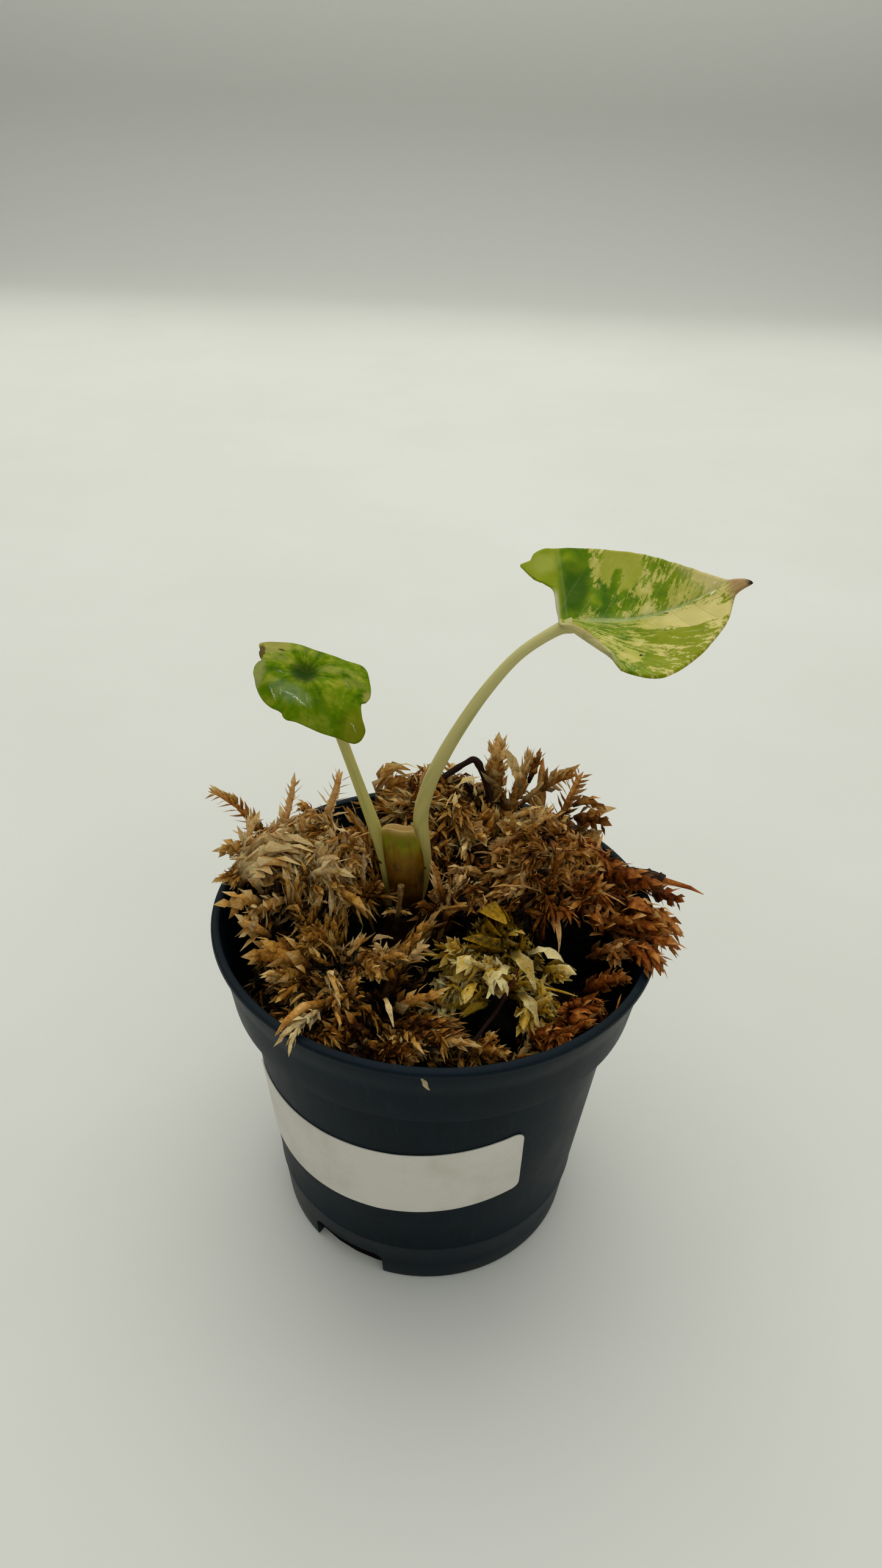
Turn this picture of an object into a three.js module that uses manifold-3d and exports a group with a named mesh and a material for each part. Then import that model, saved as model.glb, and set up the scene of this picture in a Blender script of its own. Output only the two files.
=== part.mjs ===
// A young gold-variegated alocasia with two leaves, rooted in long-fibre moss in a round nursery pot.
// Millimetres, +Z up. The origin is the centre of the pot's flat underside, and -Y is the front.
import * as THREE from "three";
import { mergeVertices } from "three/addons/utils/BufferGeometryUtils.js";
import Module from "manifold-3d";

const wasm = await Module();
wasm.setup();

// ---------------------------------------------------------------- driving dimensions
const GAP = 0.3; // clearance where two curved pieces touch
const TURN = 2 * Math.PI;

const POT = {
  height: 59.13,
  rimR: 35, // outside of the rim bead
  lipR: 33.8, // inner edge of the rim
  baseR: 25.06,
  stepZ: 46.9, // where the upper collar steps out
  stepR: 30.18,
  collarR: 32.5,
  floor: 1.2,
  footRidge: 9, // a faint ridge round the foot
  sides: 40,
  slotHeight: 5.1,
  slotWidth: 13.4,
  slotInnerR: 21.5,
  slotAzimuths: [-30, 90, 210], // degrees from the front, clockwise seen from below
};
const TAPER = (POT.stepR - POT.baseR) / POT.stepZ; // growth of the body's radius per mm of height

const LABEL = {
  length: 50,
  height: 15,
  thickness: 0.4,
  corner: 1.5,
  lift: 0.12, // glue line between the label and the wall
  azimuth: -20,
  z: 27.2,
  tilt: 4.2,
};

const MOSS = { bedZ: 49, sideGap: GAP, strandPitch: 2.5 };

// Azimuth, in degrees, runs from the front (-Y) towards +X.
const onCircle = (azimuth, r) => {
  const a = THREE.MathUtils.degToRad(azimuth);
  return [r * Math.sin(a), -r * Math.cos(a)];
};
const vec = (p) => new THREE.Vector3(...p);
const mix = (a, b, t) => a + (b - a) * t;

// ---------------------------------------------------------------- solids
function solid(geometry) {
  const bare = new THREE.BufferGeometry();
  bare.setAttribute("position", geometry.getAttribute("position").clone());
  if (geometry.index) bare.setIndex(geometry.index.clone());
  const merged = mergeVertices(bare, 1e-4);
  return new wasm.Manifold(
    new wasm.Mesh({
      numProp: 3,
      vertProperties: merged.attributes.position.array,
      triVerts: new Uint32Array(merged.index.array),
    }),
  );
}

function geometryOf(body) {
  const m = body.getMesh();
  const points = new Float32Array(m.numVert * 3);
  for (let i = 0; i < m.numVert; i++) {
    points.set(m.vertProperties.subarray(i * m.numProp, i * m.numProp + 3), i * 3);
  }
  const g = new THREE.BufferGeometry();
  g.setAttribute("position", new THREE.BufferAttribute(points, 3));
  g.setIndex(new THREE.BufferAttribute(m.triVerts, 1));
  g.computeVertexNormals();
  return g;
}

const union = (bodies) => bodies.reduce((all, b) => all.add(b));

// The largest body of a solid: scraps that a cut sets loose are dropped.
function largest(body) {
  const pieces = body.decompose();
  return pieces.reduce((best, p) => (p.volume() > best.volume() ? p : best));
}

function turned(profile, sides) {
  const g = new THREE.LatheGeometry(
    profile.map(([r, y]) => new THREE.Vector2(r, y)),
    sides,
  );
  return g.rotateX(Math.PI / 2); // the lathe's own axis is Y
}

// Bends a shape that was turned round the Y axis, from y = 0 to y = 1, along a curve.
function alongCurve(geometry, curve, twist = 0) {
  const p = geometry.getAttribute("position");
  const UP = new THREE.Vector3(0.13, 0.21, 0.97);
  for (let i = 0; i < p.count; i++) {
    const t = THREE.MathUtils.clamp(p.getY(i), 0, 1);
    const tangent = curve.getTangent(t);
    const side = tangent.clone().cross(UP).normalize();
    const lift = side.clone().cross(tangent);
    const a = twist * t;
    const x = p.getX(i) * Math.cos(a) - p.getZ(i) * Math.sin(a);
    const z = p.getX(i) * Math.sin(a) + p.getZ(i) * Math.cos(a);
    const at = curve.getPoint(t).addScaledVector(side, x).addScaledVector(lift, z);
    p.setXYZ(i, at.x, at.y, at.z);
  }
  return geometry;
}

const lathe01 = (profile, sides) =>
  new THREE.LatheGeometry(
    profile.map(([r, y]) => new THREE.Vector2(r, y)),
    sides,
  );

// A stem: a round bar along a curve whose radius is given at even steps along it.
function stem(points, radii, sides = 10, steps = 14, grow = 0) {
  const curve = new THREE.CatmullRomCurve3(points.map(vec));
  const radiusAt = (t) => {
    const x = t * (radii.length - 1);
    const i = Math.min(Math.floor(x), radii.length - 2);
    return mix(radii[i], radii[i + 1], x - i) + grow;
  };
  const profile = [[0, 0]];
  for (let i = 0; i <= steps; i++) profile.push([radiusAt(i / steps), i / steps]);
  profile.push([0, 1]);
  return solid(alongCurve(lathe01(profile, sides), curve));
}

// ---------------------------------------------------------------- pot
function potProfile() {
  const wallAt = (z) => POT.baseR + TAPER * z;
  const H = POT.height;
  return [
    [0, 0],
    [POT.baseR - 0.5, 0],
    [wallAt(0.6), 0.6],
    [wallAt(POT.footRidge), POT.footRidge],
    [wallAt(POT.footRidge) + 0.2, POT.footRidge + 0.2],
    [wallAt(POT.footRidge) + 0.2, POT.footRidge + 0.5],
    [wallAt(POT.footRidge + 0.8), POT.footRidge + 0.8],
    [wallAt(POT.stepZ - 0.7), POT.stepZ - 0.7],
    [POT.collarR - 0.1, POT.stepZ],
    [POT.collarR, POT.stepZ + 0.4],
    [POT.rimR - 0.75, H - 1.5],
    [POT.rimR - 1.05, H - 1.3],
    [POT.rimR - 1.05, H - 1.05],
    [POT.rimR, H - 0.85],
    [POT.rimR, H - 0.25],
    [POT.rimR - 0.3, H],
    [POT.lipR, H],
    [POT.lipR - 0.3, H - 0.5],
    [POT.collarR - 0.7, POT.stepZ + 0.5],
    [POT.stepR - 0.8, POT.stepZ - 0.7],
    [POT.baseR - 0.76, POT.floor],
    [0, POT.floor],
  ];
}

// A drain slot is an arched opening at the foot of the wall that runs in under the base.
function drainSlot(azimuth) {
  const half = POT.slotWidth / 2;
  const shoulder = POT.slotHeight - 0.9;
  const arch = new THREE.Shape();
  arch.moveTo(-half, -1);
  arch.lineTo(half, -1);
  arch.lineTo(half, shoulder);
  arch.quadraticCurveTo(half - 0.4, POT.slotHeight - 0.3, half - 2.4, POT.slotHeight - 0.15);
  arch.lineTo(0, POT.slotHeight);
  arch.lineTo(2.4 - half, POT.slotHeight - 0.15);
  arch.quadraticCurveTo(0.4 - half, POT.slotHeight - 0.3, -half, shoulder);
  const depth = 8;
  const g = new THREE.ExtrudeGeometry(arch, { depth, bevelEnabled: false, curveSegments: 3 });
  g.rotateX(Math.PI / 2); // the outline stands up, and the depth runs towards -Y
  g.translate(0, -POT.slotInnerR, 0);
  g.rotateZ(THREE.MathUtils.degToRad(azimuth));
  return solid(g);
}

const makePot = () =>
  POT.slotAzimuths.reduce(
    (pot, azimuth) => pot.subtract(drainSlot(azimuth)),
    solid(turned(potProfile(), POT.sides)),
  );

// The pot swelled by the clearance, which the moss is cut by.
function potClearance() {
  const H = POT.height;
  const bottom = POT.stepZ + 1;
  const outside = POT.rimR + 2 * GAP;
  return solid(
    turned(
      [
        [outside, bottom],
        [outside, H + GAP],
        [POT.lipR - GAP, H + GAP],
        [POT.collarR - 0.7 - GAP, bottom],
        [outside, bottom],
      ],
      POT.sides / 2,
    ),
  );
}

// ---------------------------------------------------------------- label
// A strip with round corners, laid on the cone along its shortest way, so that both ends rise.
function makeLabel() {
  const { length, height, thickness, corner, lift } = LABEL;
  const columns = 20;
  const g = new THREE.BoxGeometry(length, height, thickness, columns, 1, 1);
  const p = g.getAttribute("position");
  const apexDistance = (POT.baseR + TAPER * LABEL.z) / Math.sin(Math.atan(TAPER));
  const tilt = THREE.MathUtils.degToRad(LABEL.tilt);
  for (let i = 0; i < p.count; i++) {
    const column = Math.round((p.getX(i) / length + 0.5) * columns);
    const fromEnd = Math.min(column, columns - column);
    const quarter = (Math.min(fromEnd, 2) * Math.PI) / 4;
    const inner = length / 2 - corner;
    const across = Math.sign(column - columns / 2);
    const s =
      fromEnd < 2
        ? across * (inner + corner * Math.cos(quarter))
        : ((column - columns / 2) / (columns / 2 - 2)) * inner;
    const t = (p.getY(i) / height) * (height - 2 * corner * (1 - Math.sin(quarter)));
    const along = s * Math.cos(tilt) - t * Math.sin(tilt);
    const up = s * Math.sin(tilt) + t * Math.cos(tilt);
    const z = LABEL.z + up + (along * along) / (2 * apexDistance);
    const wall = POT.baseR + TAPER * z;
    const azimuth = LABEL.azimuth + THREE.MathUtils.radToDeg(along / (POT.baseR + TAPER * LABEL.z));
    const r = wall + lift + thickness / 2 + p.getZ(i);
    p.setXYZ(i, ...onCircle(azimuth, r), z);
  }
  return solid(g);
}

// ---------------------------------------------------------------- leaves
// A leaf's blade lies on a gently dished plane: u runs along the midrib from the petiole to the tip,
// v runs across it, and height(u, v) lifts it off the plane.
function leafPlane({ at, azimuth, rise, roll }) {
  const [a, e, t] = [azimuth, rise, roll].map(THREE.MathUtils.degToRad);
  const along = new THREE.Vector3(
    Math.cos(a) * Math.cos(e),
    Math.sin(a) * Math.cos(e),
    Math.sin(e),
  );
  const level = new THREE.Vector3(-Math.sin(a), Math.cos(a), 0);
  const normal = along.clone().cross(level);
  const across = level.multiplyScalar(Math.cos(t)).addScaledVector(normal, Math.sin(t));
  const up = along.clone().cross(across);
  return (u, v, h) =>
    vec(at).addScaledVector(along, u).addScaledVector(across, v).addScaledVector(up, h);
}

const LARGE_LEAF = {
  at: [17.9, 5, 106.7],
  azimuth: -7.6,
  rise: 18.5,
  roll: 22,
  length: 23.9,
  centre: [2, 3],
  thickness: 0.8,
  outline: [
    [23.9, 0.2],
    [22.9, 1.5],
    [21.6, 2.5],
    [18.5, 5.2],
    [15.3, 7.8],
    [11.3, 10.4],
    [7.8, 11.7],
    [4, 12.1],
    [0, 11.6],
    [-3, 11.8],
    [-5.3, 11],
    [-7, 9.6],
    [-6.1, 8.1],
    [-4.4, 6.6],
    [-3.2, 5.2],
    [-2.7, 2.8],
    [-2.4, 0.6],
    [-2.2, -1.6],
    [-1.6, -4],
    [0.6, -7.2],
    [3.9, -9.8],
    [7, -11.6],
    [10.9, -13.4],
    [13.7, -11.6],
    [16.6, -9.3],
    [19.1, -6.2],
    [20.5, -2.9],
    [21.2, -0.6],
    [22.3, 0.5],
  ],
  // The near lower lobe rolls up and over along this line, on a small radius.
  rollLine: { from: [-1.6, 0.2], outwards: [-0.75, -0.66], radius: 1.3 },
};
LARGE_LEAF.height = (u, v) => {
  const s = u / LARGE_LEAF.length;
  const sag = -3.2 * 4 * s * (1 - s) * (u > 0 ? 1 : 0.35);
  return sag + 0.012 * v * v + 0.1 * Math.sqrt(v * v + 0.3);
};

const SMALL_LEAF = {
  at: [-20, 5, 97.4],
  azimuth: 170,
  rise: 12,
  roll: -16,
  length: 8.4,
  centre: [-1, 1.5],
  thickness: 0.8,
  outline: [
    [7.5, -1.4],
    [6.5, 0.4],
    [6.9, 1.6],
    [6.3, 3.5],
    [4.6, 5.6],
    [2.6, 6.8],
    [0.9, 7.2],
    [-0.2, 7.9],
    [-2.8, 7.8],
    [-5.6, 7.6],
    [-8.5, 7.3],
    [-10.1, 6.9],
    [-10.8, 6.1],
    [-10.9, 5],
    [-9.9, 3.8],
    [-9.2, 2.5],
    [-9, 1.4],
    [-9.6, 0],
    [-9.3, -1.9],
    [-8.2, -4.2],
    [-6.9, -5.5],
    [-4.7, -5],
    [-1.3, -4.7],
    [1.9, -4.8],
    [5.3, -4.5],
    [8.4, -3.2],
  ],
};
SMALL_LEAF.height = (u, v) =>
  -(v > 0 ? 0.045 : 0.022) * v * v - 0.02 * u * u - 1.1 * Math.exp(-(u * u + v * v) / 5);

// The blade's middle surface at (u, v).
function bladePoint(leaf, plane, u, v) {
  const line = leaf.rollLine;
  if (!line) return plane(u, v, leaf.height(u, v));
  const [nu, nv] = line.outwards;
  const past = (u - line.from[0]) * nu + (v - line.from[1]) * nv;
  if (past <= 0) return plane(u, v, leaf.height(u, v));
  const angle = past / line.radius;
  const shift = line.radius * Math.sin(angle) - past;
  const [bu, bv] = [u + nu * shift, v + nv * shift];
  return plane(bu, bv, leaf.height(bu, bv) + line.radius * (1 - Math.cos(angle)));
}

// A blade: rings of points run in from the outline to the centre, alike on the upper and lower faces.
function blade(leaf, grow = 0) {
  const plane = leafPlane(leaf);
  const rings = [1, 0.9, 0.76, 0.55, 0.28];
  const n = leaf.outline.length;
  const half = leaf.thickness / 2 + grow;
  const [cu, cv] = leaf.centre;
  const spread = 1 + grow / 8;
  const flat = rings.flatMap((ring) =>
    leaf.outline.map(([u, v]) => [mix(cu, u, ring * spread), mix(cv, v, ring * spread)]),
  );
  flat.push([cu, cv]);
  const e = 0.05;
  const face = (side) =>
    flat.map(([u, v]) => {
      const du = bladePoint(leaf, plane, u + e, v).sub(bladePoint(leaf, plane, u - e, v));
      const dv = bladePoint(leaf, plane, u, v + e).sub(bladePoint(leaf, plane, u, v - e));
      const normal = du.cross(dv).normalize();
      return bladePoint(leaf, plane, u, v).addScaledVector(normal, side * half);
    });
  const points = [...face(1), ...face(-1)];
  const lower = flat.length;
  const last = rings.length - 1;
  const index = [];
  const both = (a, b, c) => index.push(a, b, c, a + lower, c + lower, b + lower);
  for (let i = 0; i < n; i++) {
    const j = (i + 1) % n;
    for (let k = 0; k < last; k++) {
      const [a, b, c, d] = [k * n + i, k * n + j, (k + 1) * n + j, (k + 1) * n + i];
      both(a, b, c);
      both(a, c, d);
    }
    both(last * n + i, last * n + j, lower - 1);
    index.push(i, i + lower, j, j, i + lower, j + lower);
  }
  const g = new THREE.BufferGeometry().setFromPoints(points);
  g.setIndex(index);
  return solid(g);
}

// ---------------------------------------------------------------- stems, sheath and rhizome
const LARGE_PETIOLE = {
  points: [
    [-3.3, 3.6, 56.6],
    [-2.0, 4, 60.5],
    [-1.8, 4.2, 64.3],
    [-2.4, 4.3, 68],
    [-2.9, 4.6, 72.6],
    [-2.4, 4.9, 76.5],
    [-1, 5, 81.2],
    [1.9, 5, 87.9],
    [5.9, 5, 95.2],
    [10.3, 5, 101.2],
    [15.1, 5, 105.1],
    [18.1, 5, 106.3],
  ],
  radii: [1, 1.15, 1.25, 1.25, 1.2, 1.15, 1.1, 1, 0.9, 0.8, 0.85, 1.25],
};
const SMALL_PETIOLE = {
  points: [
    [-7.1, 3.8, 56.6],
    [-7.5, 4.1, 60],
    [-7.9, 4.2, 62.8],
    [-8.7, 4.5, 66.4],
    [-10.5, 5, 71.9],
    [-12.4, 5, 77.9],
    [-14.9, 5, 85.8],
    [-17, 5.3, 91.3],
    [-19.8, 5.1, 95.4],
  ],
  radii: [1, 1.15, 1.15, 1.1, 1, 0.85, 0.8, 0.8, 1.1],
};
const SHEATH = { x: -5.1, y: 2.6, bottom: 56.3, top: 72.4, lean: -0.075, flat: 0.85 };
const RHIZOME = { x: -5.2, y: 3.2, top: 56 };

const petioleBody = ({ points, radii }, grow = 0) => stem(points, radii, 10, 17, grow);

// Sets a turned profile where the sheath stands, flattened front to back and leaning to the left.
function asSheath(profile, sides) {
  const g = turned(profile, sides);
  const p = g.getAttribute("position");
  for (let i = 0; i < p.count; i++) {
    const z = p.getZ(i);
    const x = SHEATH.x + p.getX(i) + SHEATH.lean * (z - SHEATH.bottom);
    p.setXYZ(i, x, SHEATH.y + SHEATH.flat * p.getY(i), z);
  }
  return solid(g);
}

// The old leaf base: a swollen pouch between the two stems, folded shut at the top.
function makeSheath(stems) {
  const profile = [
    [0, SHEATH.bottom],
    [2.4, SHEATH.bottom],
    [2.9, 58.8],
    [3.4, 62.5],
    [3.4, 66],
    [3.05, 69],
    [2.3, 71.2],
    [1.2, 72.2],
    [0, SHEATH.top],
  ];
  return largest(asSheath(profile, 16).subtract(stems));
}

function sheathClearance() {
  const [low, high] = [SHEATH.bottom - GAP, SHEATH.top + GAP];
  return asSheath([[0, low], [3.3, low], [3.95, 62], [3.4, high], [0, high]], 12);
}

// The short upright rhizome, ringed by old leaf scars, and its roots.
function rhizomeBody(grow = 0) {
  const profile = [
    [0, 27],
    [1.4, 27.4],
    [2.4, 31],
    [3.2, 36],
    [3.5, 38],
    [3.1, 38.6],
    [3.6, 42.5],
    [3.2, 43.1],
    [3.7, 47.2],
    [3.3, 47.8],
    [3.5, 51.6],
    [3.0, 52.2],
    [3.1, RHIZOME.top - 0.4],
    [2.7, RHIZOME.top],
    [0, RHIZOME.top],
  ];
  const grown = profile.map(([r, z], i) => {
    const end = i === 0 ? -grow : i >= profile.length - 2 ? grow : 0;
    return [r && r + grow, z + end];
  });
  const body = turned(grown, 10).translate(RHIZOME.x, RHIZOME.y, 0);
  const roots = [
    { azimuth: 20, z: 44, reach: 19, drop: 22, r: 0.8 },
    { azimuth: 95, z: 40, reach: 21, drop: 20, r: 0.75 },
    { azimuth: 165, z: 46, reach: 15, drop: 27, r: 0.8 },
    { azimuth: 235, z: 38, reach: 12, drop: 24, r: 0.7 },
    { azimuth: 300, z: 42, reach: 13, drop: 26, r: 0.75 },
    { azimuth: 60, z: 33, reach: 9, drop: 22, r: 0.7 },
  ].map(({ azimuth, z, reach, drop, r }) => {
    const at = (k, down) => {
      const [x, y] = onCircle(azimuth + 14 * Math.sin(k * 4), reach * k);
      return [RHIZOME.x + x, RHIZOME.y + y, z - down];
    };
    const points = [at(0.05, 0), at(0.35, drop * 0.12), at(0.7, drop * 0.5), at(1, drop)];
    return stem(points, [r, r, r * 0.85, r * 0.6], 5, 5, grow);
  });
  return union([solid(body), ...roots]);
}

// ---------------------------------------------------------------- twigs and loose stalks in the moss
const TWIGS = {
  twig_bent: {
    points: [
      [-3.5, 22.5, 64],
      [-0.8, 23, 68],
      [3.9, 23.5, 71.6],
      [5.7, 23.5, 72.4],
      [7.2, 23, 69.8],
      [8.8, 22, 65],
      [9.6, 21, 61],
    ],
    radii: [0.7, 0.75, 0.7, 0.75, 0.75, 0.8, 0.8],
    colour: 0x3a2218,
  },
  twig_left: {
    points: [
      [-25, -0.4, 63.4],
      [-24.2, -2.4, 58],
      [-23.6, -3.4, 54.6],
    ],
    radii: [0.55, 0.55, 0.5],
    colour: 0x2a1a14,
  },
  stalk_red_front: {
    points: [
      [12.6, -10.5, 55],
      [12.1, -15, 59],
      [9.8, -19.6, 57],
      [7.4, -24.2, 57],
      [4.4, -28.6, 55.8],
    ],
    radii: [0.45, 0.45, 0.45, 0.45, 0.4],
    colour: 0x7a3a1c,
  },
  stalk_pale: {
    points: [
      [-6.2, -0.4, 55],
      [-5.9, -0.9, 58.6],
      [-5.5, -1.2, 64],
    ],
    radii: [0.7, 0.6, 0.65],
    colour: 0xa8905c,
  },
  twig_cut: {
    points: [
      [29, 10.5, 59.8],
      [34, 9, 60.6],
      [37.5, 8, 60.2],
    ],
    radii: [0.85, 0.85, 0.9],
    colour: 0x3c2a1e,
  },
};
const twigBody = ({ points, radii }, grow = 0) => stem(points, radii, 6, 7, grow);

// ---------------------------------------------------------------- moss
// A seeded die, so that the moss falls the same way each time.
function dice(seed) {
  let state = seed;
  return (low, high) => {
    state = (state * 1664525 + 1013904223) % 4294967296;
    return low + ((high - low) * state) / 4294967296;
  };
}

// Each clump has a low core and a list of chosen strands, [root, tip, radius, bow], with more strewn
// over the core by the die. Cores are [x, y, radius in x, radius in y, top].
const CLUMPS = {
  moss_left_tan: {
    colour: 0xb08c5a,
    core: [-21, 7.5, 14, 15, 68],
    strewn: 11,
    seed: 11,
    strands: [
      [[-27, 12, 62], [-38, 14.5, 70], 1.5, 1.5],
      [[-26, 14, 62], [-24, 17, 72.5], 1.4, 0],
      [[-18, 12, 61], [-16.5, 15.5, 75], 1.6, -1],
      [[-27, 7, 60], [-36, 9.5, 61], 1.4, 2.6],
      [[-24, 8, 63], [-31.5, 2.5, 64], 1.5, 1.5],
      [[-21, 2, 62], [-14.5, -3, 63.5], 1.4, 1.5],
      [[-23, -1, 60], [-29, -6.5, 60], 1.5, 1.2],
      [[-14.5, 8, 61.5], [-12.5, 2.5, 64], 1.3, 1],
      [[-21, 11, 61], [-26, 8, 66.5], 1.3, 1],
    ],
  },
  moss_back_brown: {
    colour: 0x9a6a3a,
    core: [1, 21, 17, 11.5, 70.5],
    strewn: 10,
    seed: 23,
    strands: [
      [[-8, 21, 62], [-9.5, 25.5, 70.5], 1.5, 1.5],
      [[-12, 18, 60], [-15, 24, 65.5], 1.4, 1],
      [[1, 21, 63], [1.8, 25.5, 70.5], 1.4, 0.5],
      [[9.5, 23.5, 63], [10, 25.5, 75.8], 1.6, 0],
      [[12, 22, 63], [15, 26, 73.5], 1.3, -0.5],
      [[4, 16, 62], [7.5, 11, 65.5], 1.5, 1],
      [[-3, 16, 61], [-4.5, 11, 64.5], 1.5, 1],
      [[14, 18, 62], [11, 12, 67], 1.4, 1],
    ],
  },
  moss_right_rust: {
    colour: 0xa8602a,
    core: [20.5, 9.5, 15, 18, 69],
    strewn: 12,
    seed: 37,
    strands: [
      [[17, 19, 60], [17.3, 25, 72.5], 1.1, 0],
      [[20, 20, 60], [24.5, 25.5, 69.8], 1.8, 1],
      [[23, 19, 59], [29.3, 22.5, 64], 1.3, 2],
      [[22, 15, 58.5], [28.5, 17.5, 62.8], 1.8, 1],
      [[25, 12, 58], [37, 8.8, 59.4], 1.6, 2],
      [[28, 7, 58.8], [44, 7.6, 58], 0.9, 2.4],
      [[26, 4, 57], [38.5, -3.4, 58], 1.5, 3.2],
      [[25, 0, 57], [37.3, -7.4, 58.6], 1.5, 3],
      [[24, -5, 56.5], [34.8, -11.4, 59.6], 1.5, 2.4],
      [[15, 6, 59], [11.5, 0, 61.5], 1.6, 1.5],
      [[21, 2, 57.5], [26, -4, 60], 1.4, 1.5],
      [[15, 12, 60], [9, 8, 64.5], 1.6, 1],
    ],
  },
  moss_front_yellow: {
    colour: 0xc09a42,
    core: [10.5, -11, 11, 12, 58.5],
    strewn: 7,
    seed: 41,
    strands: [
      [[11, -3, 56], [13.5, -9.5, 60.5], 1.7, 1.5],
      [[9, -12, 56.5], [8, -19, 59.5], 1.7, 1],
      [[14, -17, 55.5], [13, -25, 57.8], 1.5, 1],
      [[6, -7, 55], [1, -12, 58], 1.4, 1.5],
      [[16, -10, 55.5], [22, -14, 57.5], 1.5, 1.5],
    ],
  },
  moss_front_left: {
    colour: 0xa98458,
    core: [-16, -12.5, 15, 13, 58.5],
    strewn: 10,
    seed: 53,
    strands: [
      [[-7.5, -8.5, 55], [0.5, -2, 58], 1.2, 1],
      [[-16, -5, 56.5], [-20, -10.5, 60], 1.5, 1.5],
      [[-11, -9, 56.5], [-7.5, -16.5, 58.5], 1.7, 1.2],
      [[-18, -14, 56.5], [-24, -18.5, 59], 1.5, 1.2],
      [[-14, -19, 57], [-20.8, -30.4, 60.4], 1.0, 3],
      [[-12, -17, 56.5], [-14, -23, 58.8], 1.4, 1],
    ],
  },
  moss_front_brown: {
    colour: 0x8a5c34,
    core: [1, -25.5, 15, 9, 55],
    strewn: 7,
    seed: 67,
    strands: [
      [[-7, -19, 54.5], [4, -22.5, 57], 1.2, 0.8],
      [[-3, -22, 54.5], [7, -27, 56], 1.2, 0.8],
      [[-7, -24, 54], [-2, -30, 56], 1.3, 0.8],
      [[4, -25, 54], [11, -28, 56], 1.3, 0.8],
    ],
  },
  moss_front_right: {
    colour: 0x94582a,
    core: [22, -17, 11.5, 11.5, 55],
    strewn: 6,
    seed: 79,
    strands: [
      [[20, -16, 54], [25, -20, 57], 1.4, 1],
      [[23, -11, 54.5], [29.5, -13, 57.5], 1.4, 1.2],
      [[17, -21, 53.5], [20, -25.5, 56], 1.3, 0.8],
    ],
  },
};

const bowed = ([root, tip, , bow]) => {
  const middle = vec(root).lerp(vec(tip), 0.5);
  middle.z += 2 * bow;
  return new THREE.QuadraticBezierCurve3(vec(root), middle, vec(tip));
};

// A strand of moss: whorls of short leaves that stand out from the stem and point to its tip.
function strandBody(strand) {
  const [root, tip, radius] = strand;
  const whorls = Math.max(3, Math.round(vec(root).distanceTo(vec(tip)) / MOSS.strandPitch));
  const widthAt = (y) => radius * Math.sqrt(1.06 - 0.86 * y * y);
  const profile = [[0, 0]];
  for (let k = 0; k < whorls; k++) {
    profile.push([0.52 * widthAt(k / whorls), (k + 0.04) / whorls]);
    profile.push([widthAt((k + 0.9) / whorls), (k + 0.9) / whorls]);
  }
  profile.push([0, 1]);
  const sides = radius >= 1.7 ? 5 : 4;
  return solid(alongCurve(lathe01(profile, sides), bowed(strand), (whorls * Math.PI) / 4));
}

// The same strand as a plain bar, swelled by the clearance, to cut its neighbours with.
function strandClearance(strand) {
  const r = 1.12 * strand[2] + GAP;
  const profile = [[0, 0], [r, 0], [r, 0.5], [0.62 * r, 1], [0, 1]];
  return solid(alongCurve(lathe01(profile, 6), bowed(strand)));
}

// A core is a low dome whose surface bristles: most points of it are pulled in or out at random,
// and every few one stands out as a tuft.
function coreBody([x, y, rx, ry, top], seed, grow = 0) {
  const roll = dice(seed);
  const g = new THREE.IcosahedronGeometry(1, 2);
  g.deleteAttribute("uv");
  g.deleteAttribute("normal");
  const lumpy = mergeVertices(g, 1e-4);
  const p = lumpy.getAttribute("position");
  const height = top - MOSS.bedZ;
  const tuft = 1.9;
  for (let i = 0; i < p.count; i++) {
    const k = roll(0.84, 1.02);
    const out = grow + (roll(0, 1) < 0.42 ? roll(0.5, 1) * tuft : 0);
    p.setXYZ(
      i,
      x + p.getX(i) * (rx * k + out),
      y + p.getY(i) * (ry * k + out),
      MOSS.bedZ + p.getZ(i) * (height * k + out),
    );
  }
  return solid(lumpy);
}

// The height of a core's surface over (x, y), or of the bed beside it.
function coreTop([cx, cy, rx, ry, top], x, y) {
  const inside = 1 - ((x - cx) / (0.9 * rx)) ** 2 - ((y - cy) / (0.9 * ry)) ** 2;
  return MOSS.bedZ + 0.85 * (top - MOSS.bedZ) * Math.sqrt(Math.max(inside, 0.02));
}

// A chosen strand's root is sunk well into the core that it grows from.
const sunk = (core, [root, ...rest]) => {
  const [x, y, z] = root;
  return [[x, y, Math.min(z, coreTop(core, x, y) - 1)], ...rest];
};

// Strands strewn over a core: each roots just under the surface and leans outwards and to one side.
function strewnStrands({ core, strewn, seed }) {
  const roll = dice(seed + 1000);
  const [x, y, rx, ry] = core;
  return Array.from({ length: strewn }, () => {
    const a = roll(0, TURN);
    const out = Math.sqrt(roll(0.05, 0.95));
    const [rootX, rootY] = [x + 0.8 * rx * out * Math.cos(a), y + 0.8 * ry * out * Math.sin(a)];
    const z = coreTop(core, rootX, rootY) - 1.2;
    const root = [rootX, rootY, z];
    const lean = a + roll(-1.4, 1.4);
    const reach = roll(4, 8.5);
    const rise = roll(0.5, 4.5);
    const tip = [root[0] + reach * Math.cos(lean), root[1] + reach * Math.sin(lean), z + rise];
    const inside = (POT.lipR - 2) / Math.hypot(tip[0], tip[1]);
    if (inside < 1) tip.splice(0, 2, tip[0] * inside, tip[1] * inside);
    return [root, tip, roll(1.1, 1.6), roll(0.3, 1.6)];
  });
}

// Everything over the bed's flat top.
function overBed() {
  const size = 100;
  const g = new THREE.BoxGeometry(size, size, size);
  return solid(g.translate(0, 0, MOSS.bedZ + size / 2));
}

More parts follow.
